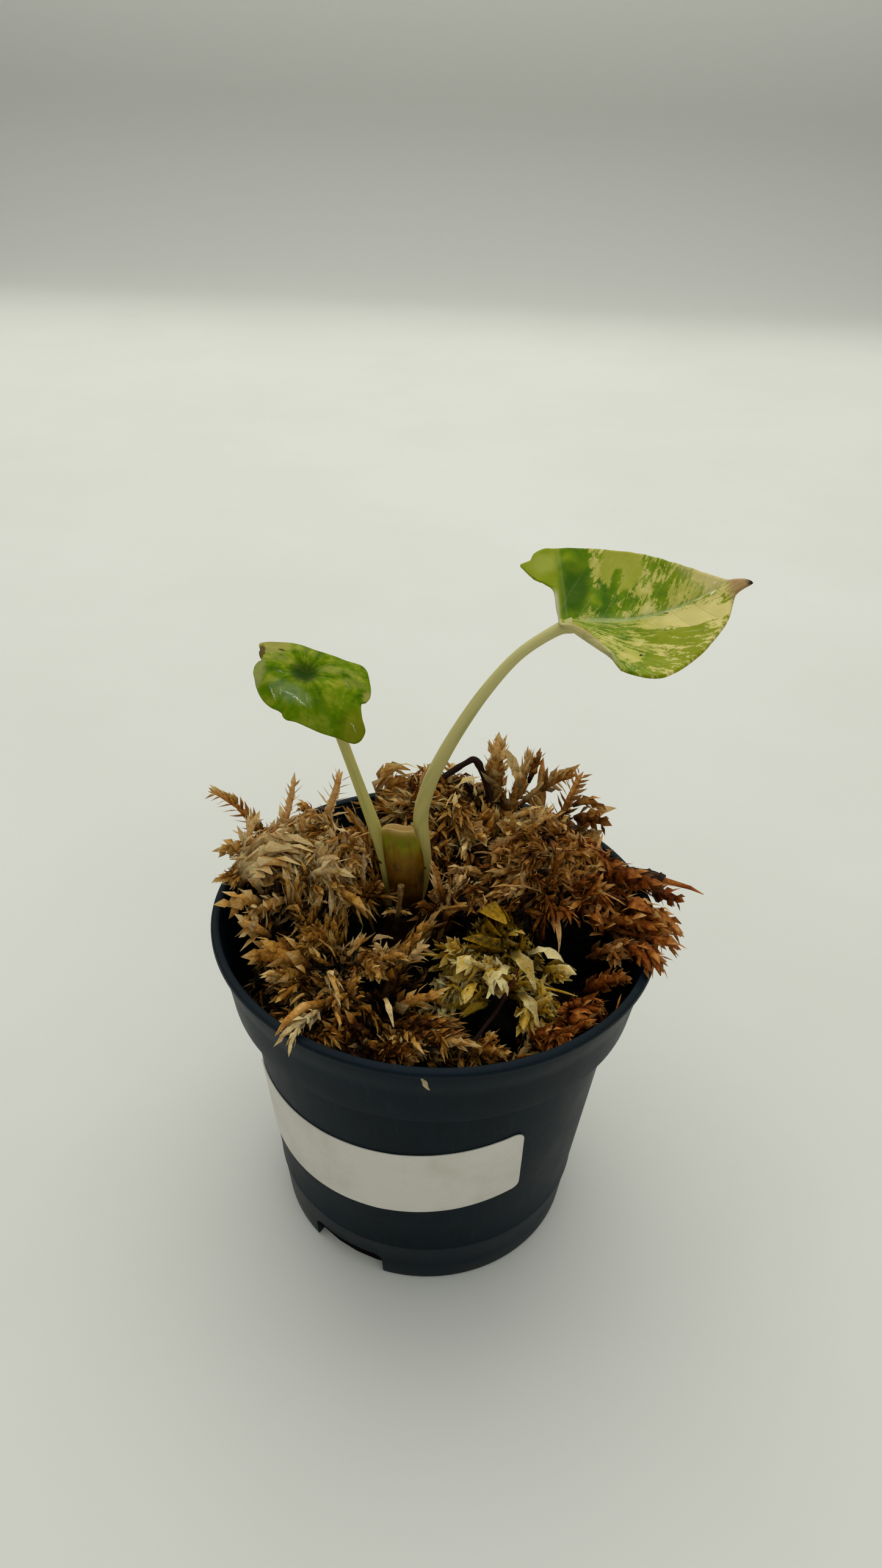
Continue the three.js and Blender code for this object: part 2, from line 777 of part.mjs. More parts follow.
function makeClumps(standing) {
  const above = overBed();
  const made = {};
  let taken = union([standing, potClearance()]);
  for (const [name, clump] of Object.entries(CLUMPS)) {
    const chosen = clump.strands.map((strand) => sunk(clump.core, strand));
    const strands = [...chosen, ...strewnStrands(clump)];
    const whole = union([coreBody(clump.core, clump.seed), ...strands.map(strandBody)]);
    made[name] = largest(whole.intersect(above).subtract(taken));
    const swelled = union([
      coreBody(clump.core, clump.seed, GAP),
      ...strands.map(strandClearance),
    ]);
    taken = taken.add(swelled);
  }
  return made;
}

// The packed moss that fills the pot: its top is flat under the clumps, with a hole for the rhizome.
function makeBed(rooted) {
  const side = MOSS.sideGap;
  const g = turned(
    [
      [0, POT.floor],
      [POT.baseR - 0.76 - side, POT.floor],
      [POT.stepR - 0.8 - side, POT.stepZ - 0.7],
      [POT.collarR - 0.7 - side, POT.stepZ + 0.5],
      [POT.collarR - 0.5 - side, MOSS.bedZ],
      [0, MOSS.bedZ],
    ],
    POT.sides,
  );
  return largest(solid(g).subtract(rooted));
}

// ---------------------------------------------------------------- assembly
const part = new THREE.Group();
function add(name, body, color, roughness, metalness = 0) {
  const material = new THREE.MeshStandardMaterial({ color, roughness, metalness });
  const mesh = new THREE.Mesh(geometryOf(body), material);
  mesh.name = name;
  part.add(mesh);
}

const stems = union([petioleBody(LARGE_PETIOLE, GAP), petioleBody(SMALL_PETIOLE, GAP)]);
const sheath = makeSheath(stems);
const rhizomeClearance = rhizomeBody(GAP);
const twigClearance = union(Object.values(TWIGS).map((t) => twigBody(t, GAP)));
const standing = union([stems, sheathClearance(), rhizomeClearance, twigClearance]);

add("pot", makePot(), 0x10191c, 0.45);
add("label", makeLabel(), 0xe6e2d4, 0.6);
add("moss_bed", makeBed(rhizomeClearance), 0x4a2e18, 1);
for (const [name, body] of Object.entries(makeClumps(standing))) {
  add(name, body, CLUMPS[name].colour, 0.95);
}
for (const [name, twig] of Object.entries(TWIGS)) add(name, twigBody(twig), twig.colour, 0.85);
add("rhizome", rhizomeBody(), 0x8a6a40, 0.8);
add("sheath", sheath, 0xa09a3a, 0.6);
const largeBladeClearance = blade(LARGE_LEAF, GAP);
const smallBladeClearance = blade(SMALL_LEAF, GAP);
add("petiole_large", largest(petioleBody(LARGE_PETIOLE).subtract(largeBladeClearance)), 0xb4b874, 0.5);
add("petiole_small", largest(petioleBody(SMALL_PETIOLE).subtract(smallBladeClearance)), 0xa9b06a, 0.5);
add("leaf_large", blade(LARGE_LEAF), 0xa9b84e, 0.35);
add("leaf_small", blade(SMALL_LEAF), 0x5f7f22, 0.35);

export default part;
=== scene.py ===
# %% [markdown]
# # A young gold-variegated alocasia in a nursery pot
# This lesson dresses a ready CAD model. The model gives every piece its place and size, and this
# script gives it its looks: moulded plastic, a paper sticker, long-fibre moss, fleshy stalks and
# two marbled leaves. Lengths are thought out in millimetres and made in metres.

import math
import random
from contextlib import contextmanager

import bmesh
import bpy
import numpy as np
from mathutils import Matrix, Vector, noise


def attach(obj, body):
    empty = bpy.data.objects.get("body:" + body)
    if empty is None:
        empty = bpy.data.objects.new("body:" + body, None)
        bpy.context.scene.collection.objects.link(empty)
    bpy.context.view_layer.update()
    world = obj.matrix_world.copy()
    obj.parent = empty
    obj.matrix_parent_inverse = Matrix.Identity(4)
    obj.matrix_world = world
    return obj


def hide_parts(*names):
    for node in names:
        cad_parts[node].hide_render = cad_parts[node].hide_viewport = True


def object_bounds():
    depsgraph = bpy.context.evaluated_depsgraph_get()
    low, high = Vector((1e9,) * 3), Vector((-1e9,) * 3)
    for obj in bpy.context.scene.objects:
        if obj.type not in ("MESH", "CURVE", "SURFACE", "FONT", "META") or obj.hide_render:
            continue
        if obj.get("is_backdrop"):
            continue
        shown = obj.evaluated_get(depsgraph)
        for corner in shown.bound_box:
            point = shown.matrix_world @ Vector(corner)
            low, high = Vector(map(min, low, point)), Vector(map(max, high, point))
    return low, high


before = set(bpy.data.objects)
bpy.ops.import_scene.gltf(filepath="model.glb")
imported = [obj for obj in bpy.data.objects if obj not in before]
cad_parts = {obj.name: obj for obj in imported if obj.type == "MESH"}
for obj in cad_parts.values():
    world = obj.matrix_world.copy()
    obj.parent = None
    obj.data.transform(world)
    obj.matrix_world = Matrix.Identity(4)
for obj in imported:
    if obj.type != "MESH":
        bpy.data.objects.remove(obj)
bpy.context.view_layer.update()
cad_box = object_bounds()
MM = 0.001
TURN = 2 * math.pi
WELD = 1e-6  # points nearer to each other than this many metres are one point
print("CAD nodes:", len(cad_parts), "box:", [tuple(round(c, 4) for c in p) for p in cad_box])


# %% [markdown]
# ## Working by hand, in code
# Blender's operators act on whatever is selected. These short helpers do what a click does: they
# add a mesh, pick one object, go into edit mode and out of it, add a modifier and apply it, and
# finish a piece so that its object sits at the origin and its place is in its mesh, as it is for the
# CAD nodes.

# %% Helpers for adding, picking, editing and finishing a piece
def new_mesh(shape, **settings):
    """A new object from one of Blender's own meshes: a plane, cube, circle, grid or ico_sphere."""
    bpy.ops.object.select_all(action="DESELECT")
    getattr(bpy.ops.mesh, f"primitive_{shape}_add")(**settings)
    return bpy.context.active_object


def new_grid(columns, rows):
    """A flat square of faces, one unit wide, with a UV map of its own."""
    return new_mesh("grid", x_subdivisions=columns, y_subdivisions=rows, size=1)


def pick(obj):
    bpy.ops.object.select_all(action="DESELECT")
    obj.select_set(True)
    bpy.context.view_layer.objects.active = obj


@contextmanager
def editing(obj):
    """Edit mode, with the whole mesh selected at first."""
    pick(obj)
    bpy.ops.object.mode_set(mode="EDIT")
    bpy.ops.mesh.select_all(action="SELECT")
    yield
    bpy.ops.object.mode_set(mode="OBJECT")


def apply_modifier(obj, kind, **settings):
    pick(obj)
    modifier = obj.modifiers.new(kind.title(), kind)
    for key, value in settings.items():
        setattr(modifier, key, value)
    bpy.ops.object.modifier_apply(modifier=modifier.name)


def extrude(x, y, z):
    bpy.ops.mesh.extrude_region_move(TRANSFORM_OT_translate={"value": (x, y, z)})


def face_outwards(obj, weld=False, close_ends=False):
    """Turns the faces outwards. A grid that was bent round is first welded where its edges meet."""
    with editing(obj):
        if weld:
            bpy.ops.mesh.remove_doubles(threshold=WELD)
        if close_ends:
            bpy.ops.mesh.fill_holes(sides=0)
        bpy.ops.mesh.normals_make_consistent(inside=False)


def finish_piece(obj, name, material, slot, replaces=(), smooth_angle=40):
    pick(obj)
    bpy.ops.object.transform_apply(location=True, rotation=True, scale=True)
    bpy.ops.object.shade_smooth_by_angle(angle=math.radians(smooth_angle))
    obj.name = obj.data.name = name
    obj.data.materials.clear()
    obj.data.materials.append(material)
    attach(obj, "root")
    if replaces:
        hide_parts(*replaces)
    size = [round(c * 1000, 1) for c in obj.dimensions]
    print(f"{name}: {len(obj.data.polygons)} faces, {size} mm")


# %% [markdown]
# ## Curves through points
# Stalks, twigs and leaf outlines are given by a few points each. A Catmull-Rom curve runs through
# all of its points with no corners, which is how a plant grows.

# %% A smooth curve through points
def catmull_rom(p0, p1, p2, p3, t):
    return 0.5 * (
        2 * p1 + (p2 - p0) * t + (2 * p0 - 5 * p1 + 4 * p2 - p3) * t * t
        + (3 * p1 - p0 - 3 * p2 + p3) * t * t * t
    )


def along_points(points, t, closed=False):
    """The point at t, from 0 to 1, of the curve through the points."""
    points = np.asarray(points, float)
    n = len(points)
    x = t * (n if closed else n - 1)
    i = min(int(x), n - 1 if closed else n - 2)
    if closed:
        p = [points[(i + k) % n] for k in (-1, 0, 1, 2)]
    else:
        padded = [2 * points[0] - points[1], *points, 2 * points[-1] - points[-2]]
        p = padded[i:i + 4]
    return catmull_rom(*p, x - i)


def smoothstep(low, high, x):
    t = min(max((x - low) / (high - low), 0), 1)
    return t * t * (3 - 2 * t)


# %% [markdown]
# ## The camera
# The camera looks down on the pot from arm's length, as somebody does who holds a phone over a
# bench. The directions of its own axes are written out, because the view leans a little to one side.

# %% Place the camera
CAMERA_AT = (0, -136.67, 168.40)
CAMERA_RIGHT = Vector((0.999134, 0.022049, 0.035280))
CAMERA_UP = Vector((-0.041603, 0.533176, 0.844981))
CAMERA_BACK = Vector((-0.00018, -0.845717, 0.533632))
FOCAL_LENGTH, SENSOR_WIDTH = 25.22, 36

bpy.ops.object.select_all(action="DESELECT")
bpy.ops.object.camera_add()
camera = bpy.context.active_object
turn = Matrix((CAMERA_RIGHT, CAMERA_UP, CAMERA_BACK)).transposed().to_4x4()
camera.matrix_world = Matrix.Translation(Vector(CAMERA_AT) * MM) @ turn
camera.data.lens = FOCAL_LENGTH
camera.data.sensor_width = SENSOR_WIDTH
camera.data.clip_start = 0.01
camera.data.clip_end = 20
bpy.context.scene.camera = camera
print("Camera lens", camera.data.lens, "mm")

# %% [markdown]
# ## Building materials as short recipes
# A shader graph is easier to read as a list of steps than as a drawing. A Recipe adds nodes to one
# tree and gives back their output sockets, so that each step can feed the next.

# %% The recipe helper
def colour(text):
    """A colour written as in a paint program, such as "7a5c30", as the linear values of a shader."""
    parts = [int(text[i:i + 2], 16) / 255 for i in (0, 2, 4)]
    return (*[p / 12.92 if p <= 0.04045 else ((p + 0.055) / 1.055) ** 2.4 for p in parts], 1)


class Recipe:
    def __init__(self, tree):
        self.tree = tree

    def feed(self, node, inputs):
        """Each input takes the output of another node, a number, or a colour written as text."""
        for key, value in inputs.items():
            if isinstance(value, bpy.types.NodeSocket):
                self.tree.links.new(value, node.inputs[key])
            elif value is not None:
                node.inputs[key].default_value = colour(value) if isinstance(value, str) else value

    def node(self, kind, inputs=None, **settings):
        made = self.tree.nodes.new(kind)
        for key, value in settings.items():
            setattr(made, key, value)
        self.feed(made, inputs or {})
        return made

    def math(self, operation, a, b=None, clamp=False):
        inputs = {0: a, 1: b}
        return self.node("ShaderNodeMath", inputs, operation=operation, use_clamp=clamp).outputs[0]

    def add(self, *terms):
        total = terms[0]
        for term in terms[1:]:
            total = self.math("ADD", total, term)
        return total

    def times(self, a, b):
        return self.math("MULTIPLY", a, b)

    def minus(self, a, b):
        return self.math("SUBTRACT", a, b)

    def smooth(self, value, low, high):
        """0 below low and 1 above high, with a soft step between."""
        inputs = {"Value": value, "From Min": low, "From Max": high}
        return self.node("ShaderNodeMapRange", inputs, interpolation_type="SMOOTHSTEP").outputs[0]

    def mix(self, factor, a, b):
        return self.node("ShaderNodeMix", {0: factor, 6: a, 7: b}, data_type="RGBA").outputs[2]

    def tint(self, base, towards, *masks):
        """The base, moved towards another colour by the product of the masks."""
        factor = masks[0]
        for mask in masks[1:]:
            factor = self.times(factor, mask)
        return self.mix(factor, base, towards)

    def noise(self, vector, scale, detail=3, roughness=0.5, distortion=0.0):
        inputs = {"Vector": vector, "Scale": scale, "Detail": detail, "Roughness": roughness,
                  "Distortion": distortion}
        return self.node("ShaderNodeTexNoise", inputs).outputs[0]

    def cells(self, vector, scale):
        return self.node("ShaderNodeTexVoronoi", {"Vector": vector, "Scale": scale}).outputs["Distance"]

    def combine(self, x, y, z=0.0):
        return self.node("ShaderNodeCombineXYZ", {0: x, 1: y, 2: z}).outputs[0]

    def ring(self, around, along):
        """A place on a tube. It comes back to itself after one turn, so that noise shows no seam."""
        turn = self.times(around, TURN)
        return self.combine(self.math("COSINE", turn), self.math("SINE", turn), along)

    def separate(self, vector):
        return self.node("ShaderNodeSeparateXYZ", {0: vector}).outputs[:3]

    def ramp(self, factor, stops):
        made = self.node("ShaderNodeValToRGB", {0: factor})
        elements = made.color_ramp.elements
        while len(elements) < len(stops):
            elements.new(0.5)
        for element, (place, text) in zip(elements, stops):
            element.position = place
            element.color = colour(text)
        return made.outputs[0]

    def place(self):
        """The point on the piece, in millimetres."""
        point = self.node("ShaderNodeTexCoord").outputs["Object"]
        return self.node("ShaderNodeVectorMath", {0: point, 3: 1000.0}, operation="SCALE").outputs[0]

    def uv(self):
        return self.node("ShaderNodeTexCoord").outputs["UV"]

    def group(self, tree, **inputs):
        return self.node("ShaderNodeGroup", inputs, node_tree=tree).outputs[0]

    def bump(self, height, distance, strength=1.0):
        inputs = {"Height": height, "Distance": distance * MM, "Strength": strength}
        return self.node("ShaderNodeBump", inputs).outputs[0]

    def material(self, base, roughness, normal=None, **constants):
        """Joins a base colour, a roughness and a normal to the Principled shader."""
        inputs = {"Base Color": base, "Roughness": roughness, "Normal": normal}
        inputs |= {key.replace("_", " "): value for key, value in constants.items()}
        self.feed(self.tree.nodes["Principled BSDF"], inputs)
        print("material", self.made.name)
        return self.made


def start_material(name):
    material = bpy.data.materials.new(name)
    material.use_nodes = True
    recipe = Recipe(material.node_tree)
    recipe.made = material
    return recipe


# %% [markdown]
# ## Effects that several finishes share
# The paper, the plastic and the stalks are uneven in tone or carry a little dirt. Each effect is a
# node group, made once: "mottle" gives soft patches, and "specks" gives small scattered marks.

# %% Shared node groups
def new_group(name, **knobs):
    """A group that turns a vector and a few numbers into a mask."""
    tree = bpy.data.node_groups.new(name, "ShaderNodeTree")
    tree.interface.new_socket("Vector", in_out="INPUT", socket_type="NodeSocketVector")
    for key, value in knobs.items():
        socket = tree.interface.new_socket(key, in_out="INPUT", socket_type="NodeSocketFloat")
        socket.default_value = value
    tree.interface.new_socket("Mask", in_out="OUTPUT", socket_type="NodeSocketFloat")
    recipe = Recipe(tree)
    recipe.inside = tree.nodes.new("NodeGroupInput").outputs
    recipe.outside = tree.nodes.new("NodeGroupOutput").inputs
    return recipe


def make_mottle():
    g = new_group("mottle", Scale=1.0, Low=0.35, High=0.65)
    at, scale = g.inside["Vector"], g.inside["Scale"]
    broad = g.noise(at, scale, 2, 0.5)
    fine = g.noise(at, g.times(scale, 4.3), 3, 0.6)
    both = g.add(g.times(broad, 0.65), g.times(fine, 0.35))
    g.tree.links.new(g.smooth(both, g.inside["Low"], g.inside["High"]), g.outside["Mask"])
    return g.tree


def make_specks():
    g = new_group("specks", Scale=1.0, Size=0.1, Amount=0.5)
    at, scale = g.inside["Vector"], g.inside["Scale"]
    near = g.minus(1.0, g.smooth(g.cells(at, scale), 0.0, g.inside["Size"]))
    patches = g.noise(at, g.times(scale, 0.37), 2)
    chosen = g.smooth(patches, g.minus(1.0, g.inside["Amount"]), 1.0)
    g.tree.links.new(g.times(near, chosen), g.outside["Mask"])
    return g.tree


MOTTLE = make_mottle()
SPECKS = make_specks()
print("groups:", [g.name for g in bpy.data.node_groups])

# %% [markdown]
# ## The floor
# The pot stands on a pale sheet that runs back and then curves up behind it, so that no corner
# shows. It is an edge drawn out to the back by extruding, and rounded where it turns up.

# %% Sheet of paper for a floor
SHEET = {"half_width": 1.6, "front": -0.9, "back": 0.98, "radius": 0.16, "height": 1.6,
         "steps": 12}  # in metres; the bend is extruded in steps


def make_floor():
    sheet = new_mesh("plane", size=1)
    with editing(sheet):
        bpy.ops.transform.resize(value=(2 * SHEET["half_width"], SHEET["back"] - SHEET["front"], 1))
        bpy.ops.transform.translate(value=(0, (SHEET["back"] + SHEET["front"]) / 2, 0))
        bpy.ops.mesh.select_all(action="DESELECT")
        bm = bmesh.from_edit_mesh(sheet.data)
        for vert in bm.verts:
            vert.select = vert.co.y > SHEET["back"] - 1e-4
        bm.select_flush(True)
        bmesh.update_edit_mesh(sheet.data)
        bends = [k * math.pi / 2 / SHEET["steps"] for k in range(SHEET["steps"] + 1)]
        for a, b in zip(bends, bends[1:]):
            extrude(0, SHEET["radius"] * (math.sin(b) - math.sin(a)),
                    SHEET["radius"] * (math.cos(a) - math.cos(b)))
        extrude(0, 0, SHEET["height"])
    pick(sheet)
    bpy.ops.object.shade_smooth()
    sheet.name = "paper_sheet"
    r = start_material("paper_sheet")
    tone = r.group(MOTTLE, Vector=r.place(), Scale=0.004, Low=0.3, High=0.7)
    base = r.mix(tone, "dcddd3", "e2e3da")
    _, y, z = r.separate(r.place())
    # painted shade: the back of the floor, the bend and the foot of the wall are greyed, and the wall
    # turns pale again higher up
    base = r.tint(base, "bdbeb7", r.smooth(y, 740.0, 1130.0))
    base = r.tint(base, "dedfd8", r.smooth(z, 120.0, 420.0))
    sheet.data.materials.append(r.material(base, 0.75))
    sheet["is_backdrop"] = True


make_floor()
print("floor reaches back to", SHEET["back"] + SHEET["radius"], "m")

# %% [markdown]
# ## The light
# Soft light comes from a wide source overhead and behind, so the floor is brightest behind the pot
# and the pot's front stays dark. A weak lamp in front and an even light from all round fill the
# shadows.

# %% Lights
KEY = {"at": (-0.03, 0.55, 0.82), "aim": (0, 0.14, 0.03), "size": 1.3, "power": 5.9}
FILL = {"at": (0.45, -0.75, 0.75), "aim": (0, 0, 0.04), "size": 0.5, "power": 0.5}
SKY = {"low": 0.23, "high": 0.63, "tint": (0.96, 0.98, 0.97)}
LAMP_TINT = (1.0, 0.985, 0.95)


def add_softbox(name, at, aim, size, power):
    bpy.ops.object.select_all(action="DESELECT")
    bpy.ops.object.light_add(type="AREA", location=at)
    lamp = bpy.context.active_object
    lamp.name = name
    lamp.rotation_euler = (Vector(aim) - Vector(at)).to_track_quat("-Z", "Y").to_euler()
    lamp.data.shape = "SQUARE"
    lamp.data.size = size
    lamp.data.energy = power
    lamp.data.color = LAMP_TINT


def make_room():
    """An even room: dim at eye level and brighter overhead, like a white ceiling."""
    world = bpy.data.worlds.new("room")
    bpy.context.scene.world = world
    world.use_nodes = True
    r = Recipe(world.node_tree)
    height = r.separate(r.node("ShaderNodeTexCoord").outputs["Generated"])[2]
    low, high = ((*[SKY[key] * c for c in SKY["tint"]], 1) for key in ("low", "high"))
    sky = r.mix(r.smooth(height, 0.0, 0.8), low, high)
    r.feed(world.node_tree.nodes["Background"], {"Color": sky, "Strength": 1.0})


add_softbox("softbox_above", **KEY)
add_softbox("softbox_front", **FILL)
make_room()
bpy.context.scene.view_settings.view_transform = "Standard"
print("lights:", KEY["power"], FILL["power"])

# %% [markdown]
# ## The pot
# A nursery pot is one thin injection moulding: a tapered body, a step out to a taller collar that
# lets pots stack, and a rolled rim. It is made by hand as a circle that is extruded and scaled ring
# by ring, up the outside, over the rim and down the inside, so that the wall has its real thickness.

# %% Measure the pot's profile
# Radii: the rim's outer edge, the lip at its inner edge, the base, the body's top at the step and the
# foot of the collar. The rest are heights, and the wall's thickness.
POT = {"height": 59.13, "rim": 35.0, "lip": 33.8, "base": 25.06, "step_z": 46.9, "step": 30.18,
       "collar": 32.5, "collar_z": 47.3, "ridge_z": 9.0, "floor": 1.2, "wall": 0.8}
POT_TAPER = (POT["step"] - POT["base"]) / POT["step_z"]
POT_SIDES = 144
DRAIN_SLOTS = {"azimuths": (-30, 90, 210), "width": 13.4, "height": 5.1, "inner": 21.5, "depth": 8,
               "corner": 1.6}


def wall_radius(z):
    """The outside of the pot's body at height z."""
    return POT["base"] + POT_TAPER * z


def pot_rings():
    """(radius, height) of each ring after the first, up the outside and down the inside."""
    H, ridge, rim, lip, collar = (POT[key] for key in ("height", "ridge_z", "rim", "lip", "collar"))
    slope = (rim - 0.95 - collar) / (H - 1.7 - POT["collar_z"])
    # the foot's edge, and a low ridge round the wall
    rings = [(POT["base"] - 0.15, 0.12), (wall_radius(0.6), 0.6), (wall_radius(4), 4)]
    rings += [(wall_radius(ridge - 0.3), ridge - 0.3), (wall_radius(ridge) + 0.14, ridge)]
    rings += [(wall_radius(ridge) + 0.14, ridge + 0.35), (wall_radius(ridge + 0.8), ridge + 0.8)]
    rings += [(wall_radius(z), z) for z in (16, 24, 32, 40, 45)]
    # the step out to the collar, and the collar with a faint band under the rim
    rings += [(wall_radius(46.1), 46.1), (POT["step"] + 0.25, 46.35), (collar - 0.3, 46.75)]
    rings += [(collar - 0.06, 46.95), (collar + 0.02, POT["collar_z"])]
    rings += [(collar + slope * (z - POT["collar_z"]), z) for z in (50, 53, 54.6)]
    rings += [(collar + slope * (z - POT["collar_z"]) + 0.07, z) for z in (54.8, 57.3)]
    # over the rim
    rings += [(rim - 0.85, H - 1.5), (rim - 0.8, H - 1.25), (rim - 0.35, H - 1.15)]
    rings += [(rim - 0.1, H - 1.02), (rim, H - 0.8), (rim, H - 0.36)]
    rings += [(rim - 0.09, H - 0.13), (rim - 0.3, H - 0.02), (rim - 0.6, H)]
    rings += [(lip + 0.12, H - 0.01), (lip - 0.1, H - 0.12), (lip - 0.24, H - 0.4)]
    # down the inside to the floor
    rings += [(collar - 0.7, 47.4), (POT["step"] - 0.72, 46.2)]
    rings += [(wall_radius(z) - POT["wall"], z) for z in (30, 10, 2.2)]
    rings += [(wall_radius(1.4) - 1.2, 1.4), (POT["base"] - 2, POT["floor"])]
    return rings


# %% Extrude the pot ring by ring, and cut the drain slots
def make_pot():
    radius, height = POT["base"] - 0.5, 0.0
    pot = new_mesh("circle", vertices=POT_SIDES, radius=radius * MM, fill_type="NGON")
    with editing(pot):
        for r, z in pot_rings():
            extrude(0, 0, (z - height) * MM)
            k = r / radius
            bpy.ops.transform.resize(value=(k, k, 1), center_override=(0, 0, z * MM))
            radius, height = r, z
    face_outwards(pot)
    return pot


def make_slot_cutter(azimuth):
    """An arched block across the foot of the wall, turned to its azimuth."""
    w, h, depth = (x * MM for x in (DRAIN_SLOTS["width"], DRAIN_SLOTS["height"] + 1,
                                    DRAIN_SLOTS["depth"]))
    cutter = new_mesh("cube", size=1)
    with editing(cutter):
        bpy.ops.transform.resize(value=(w, depth, h))
        bpy.ops.transform.translate(value=(0, -DRAIN_SLOTS["inner"] * MM - depth / 2, h / 2 - 1 * MM))
        bm = bmesh.from_edit_mesh(cutter.data)
        for edge in bm.edges:  # the two upper edges that run through the wall are rounded
            a, b = (v.co for v in edge.verts)
            edge.select = min(a.z, b.z) > 4 * MM and abs(a.y - b.y) > 1 * MM
        bmesh.update_edit_mesh(cutter.data)
        bpy.ops.mesh.bevel(offset=DRAIN_SLOTS["corner"] * MM, segments=5)
        bpy.ops.mesh.select_all(action="SELECT")
        bpy.ops.transform.rotate(value=-math.radians(azimuth), orient_axis="Z",
                                 center_override=(0, 0, 0))
    return cutter


def cut_slots(pot):
    for azimuth in DRAIN_SLOTS["azimuths"]:
        cutter = make_slot_cutter(azimuth)
        apply_modifier(pot, "BOOLEAN", object=cutter, operation="DIFFERENCE", solver="EXACT")
        bpy.data.objects.remove(cutter)


# %% [markdown]
# ## Moulded black plastic
# Black polypropylene is never quite black: it has a blue cast and a soft gloss. The finish adds the
# wear of a pot that has been handled, with dusty scuffs, faint upright drag marks, and soil specks.

# %% The pot's finish
def pot_plastic():
    r = start_material("pot_plastic")
    p = r.place()
    x, y, z = r.separate(p)
    cloud = r.group(MOTTLE, Vector=p, Scale=0.07, Low=0.35, High=0.68)
    drag_at = r.combine(r.times(x, 0.9), r.times(y, 0.9), r.times(z, 0.05))
    drags = r.smooth(r.noise(drag_at, 1.4, 3, 0.6), 0.55, 0.8)
    scuffs = r.smooth(r.noise(r.combine(x, y, r.times(z, 3.0)), 0.35, 4, 0.7, 0.6), 0.63, 0.75)
    dirt = r.group(SPECKS, Vector=p, Scale=0.9, Size=0.16, Amount=0.62)
    base = r.mix(cloud, "08141a", "0e1c25")
    base = r.tint(base, "2a363a", drags, 0.25)
    base = r.tint(base, "3c4446", scuffs, 0.3)
    base = r.tint(base, "4a3a26", dirt, 0.8)
    rough = r.add(0.36, r.times(cloud, 0.1), r.times(scuffs, 0.22), r.times(dirt, 0.3))
    grain = r.add(r.noise(p, 3.2, 2), r.times(r.noise(p, 0.22, 2), 3.0))
    normal = r.bump(grain, 0.05, 0.35)
    return r.material(base, rough, normal, Specular_IOR_Level=0.06)


pot = make_pot()
cut_slots(pot)
finish_piece(pot, "nursery_pot", pot_plastic(), "pot_plastic", ["pot"], 32)

# %% [markdown]
# ## The sticker
# A paper sticker laid on a cone follows its shortest way round, so a straight strip seems to smile:
# both ends rise. The strip is a flat grid with rounded corners, bent onto the wall point by point and
# then given the thickness of paper. It is left bare.

# %% Cut and lay the sticker
STICKER = {"length": 50.0, "height": 15.0, "corner": 1.6, "lift": 0.06, "paper": 0.14,
           "azimuth": -20, "z": 27.2, "tilt": 4.2, "ripple": 0.05, "curl": 0.16}


def round_corner(s, t):
    """Pulls a point of the flat strip in, where its corner is rounded."""
    hx, hy, c = STICKER["length"] / 2, STICKER["height"] / 2, STICKER["corner"]
    dx, dy = abs(s) - (hx - c), abs(t) - (hy - c)
    if dx <= 0 or dy <= 0:
        return s, t
    reach = max(dx, dy) / math.hypot(dx, dy)
    return (math.copysign(hx - c + dx * reach, s), math.copysign(hy - c + dy * reach, t))


def on_wall(s, t, lift):
    """The point of the pot's wall under the strip's point (s, t)."""
    tilt = math.radians(STICKER["tilt"])
    along = s * math.cos(tilt) - t * math.sin(tilt)
    rise = s * math.sin(tilt) + t * math.cos(tilt)
    apex = wall_radius(STICKER["z"]) / math.sin(math.atan(POT_TAPER))
    z = STICKER["z"] + rise + along * along / (2 * apex)
    a = math.radians(STICKER["azimuth"]) + along / wall_radius(STICKER["z"])
    r = wall_radius(z) + lift
    return Vector((r * math.sin(a), -r * math.cos(a), z)) * MM


def make_sticker():
    strip = new_grid(100, 30)
    for vert in strip.data.vertices:
        s, t = round_corner(vert.co.x * STICKER["length"], vert.co.y * STICKER["height"])
        ripple = STICKER["ripple"] * noise.noise(Vector((s * 0.25, t * 0.3, 7.0)))
        curl = STICKER["curl"] * smoothstep(23.3, 25, s)  # its right end lifts a little
        vert.co = on_wall(s, t, STICKER["lift"] + max(ripple, 0) + curl)
    apply_modifier(strip, "SOLIDIFY", thickness=STICKER["paper"] * MM, offset=1.0)
    face_outwards(strip)
    return strip


def sticker_paper():
    r = start_material("sticker_paper")
    p = r.place()
    fibres = r.noise(p, 4.0, 4, 0.7)
    soil = r.group(MOTTLE, Vector=p, Scale=0.09, Low=0.42, High=0.75)
    base = r.mix(soil, "dcd8cc", "cbc6b6")
    base = r.tint(base, "d3cfc2", r.smooth(fibres, 0.45, 0.8))
    marks = r.group(SPECKS, Vector=p, Scale=0.23, Size=0.045, Amount=0.66)
    base = r.tint(base, "4a4438", marks, 0.9)
    normal = r.bump(fibres, 0.02, 0.3)
    return r.material(base, 0.62, normal)


finish_piece(make_sticker(), "sticker", sticker_paper(), "label_paper", ["label"], 40)

# %% [markdown]
# ## The leaf blades
# A leaf is a thin sheet that is never flat. Each blade here is laid out flat first, as if pressed in
# a book: u runs along the midrib from the stalk to the tip and v runs across, in millimetres. Its
# outline is a smooth loop through points, filled with rings of faces, and a height over (u, v)
# dishes it, sinks the veins and lets the tissue swell between them. The same (u, v) is kept as the
# UV map, so that the marbling follows the blade and not the air around it.

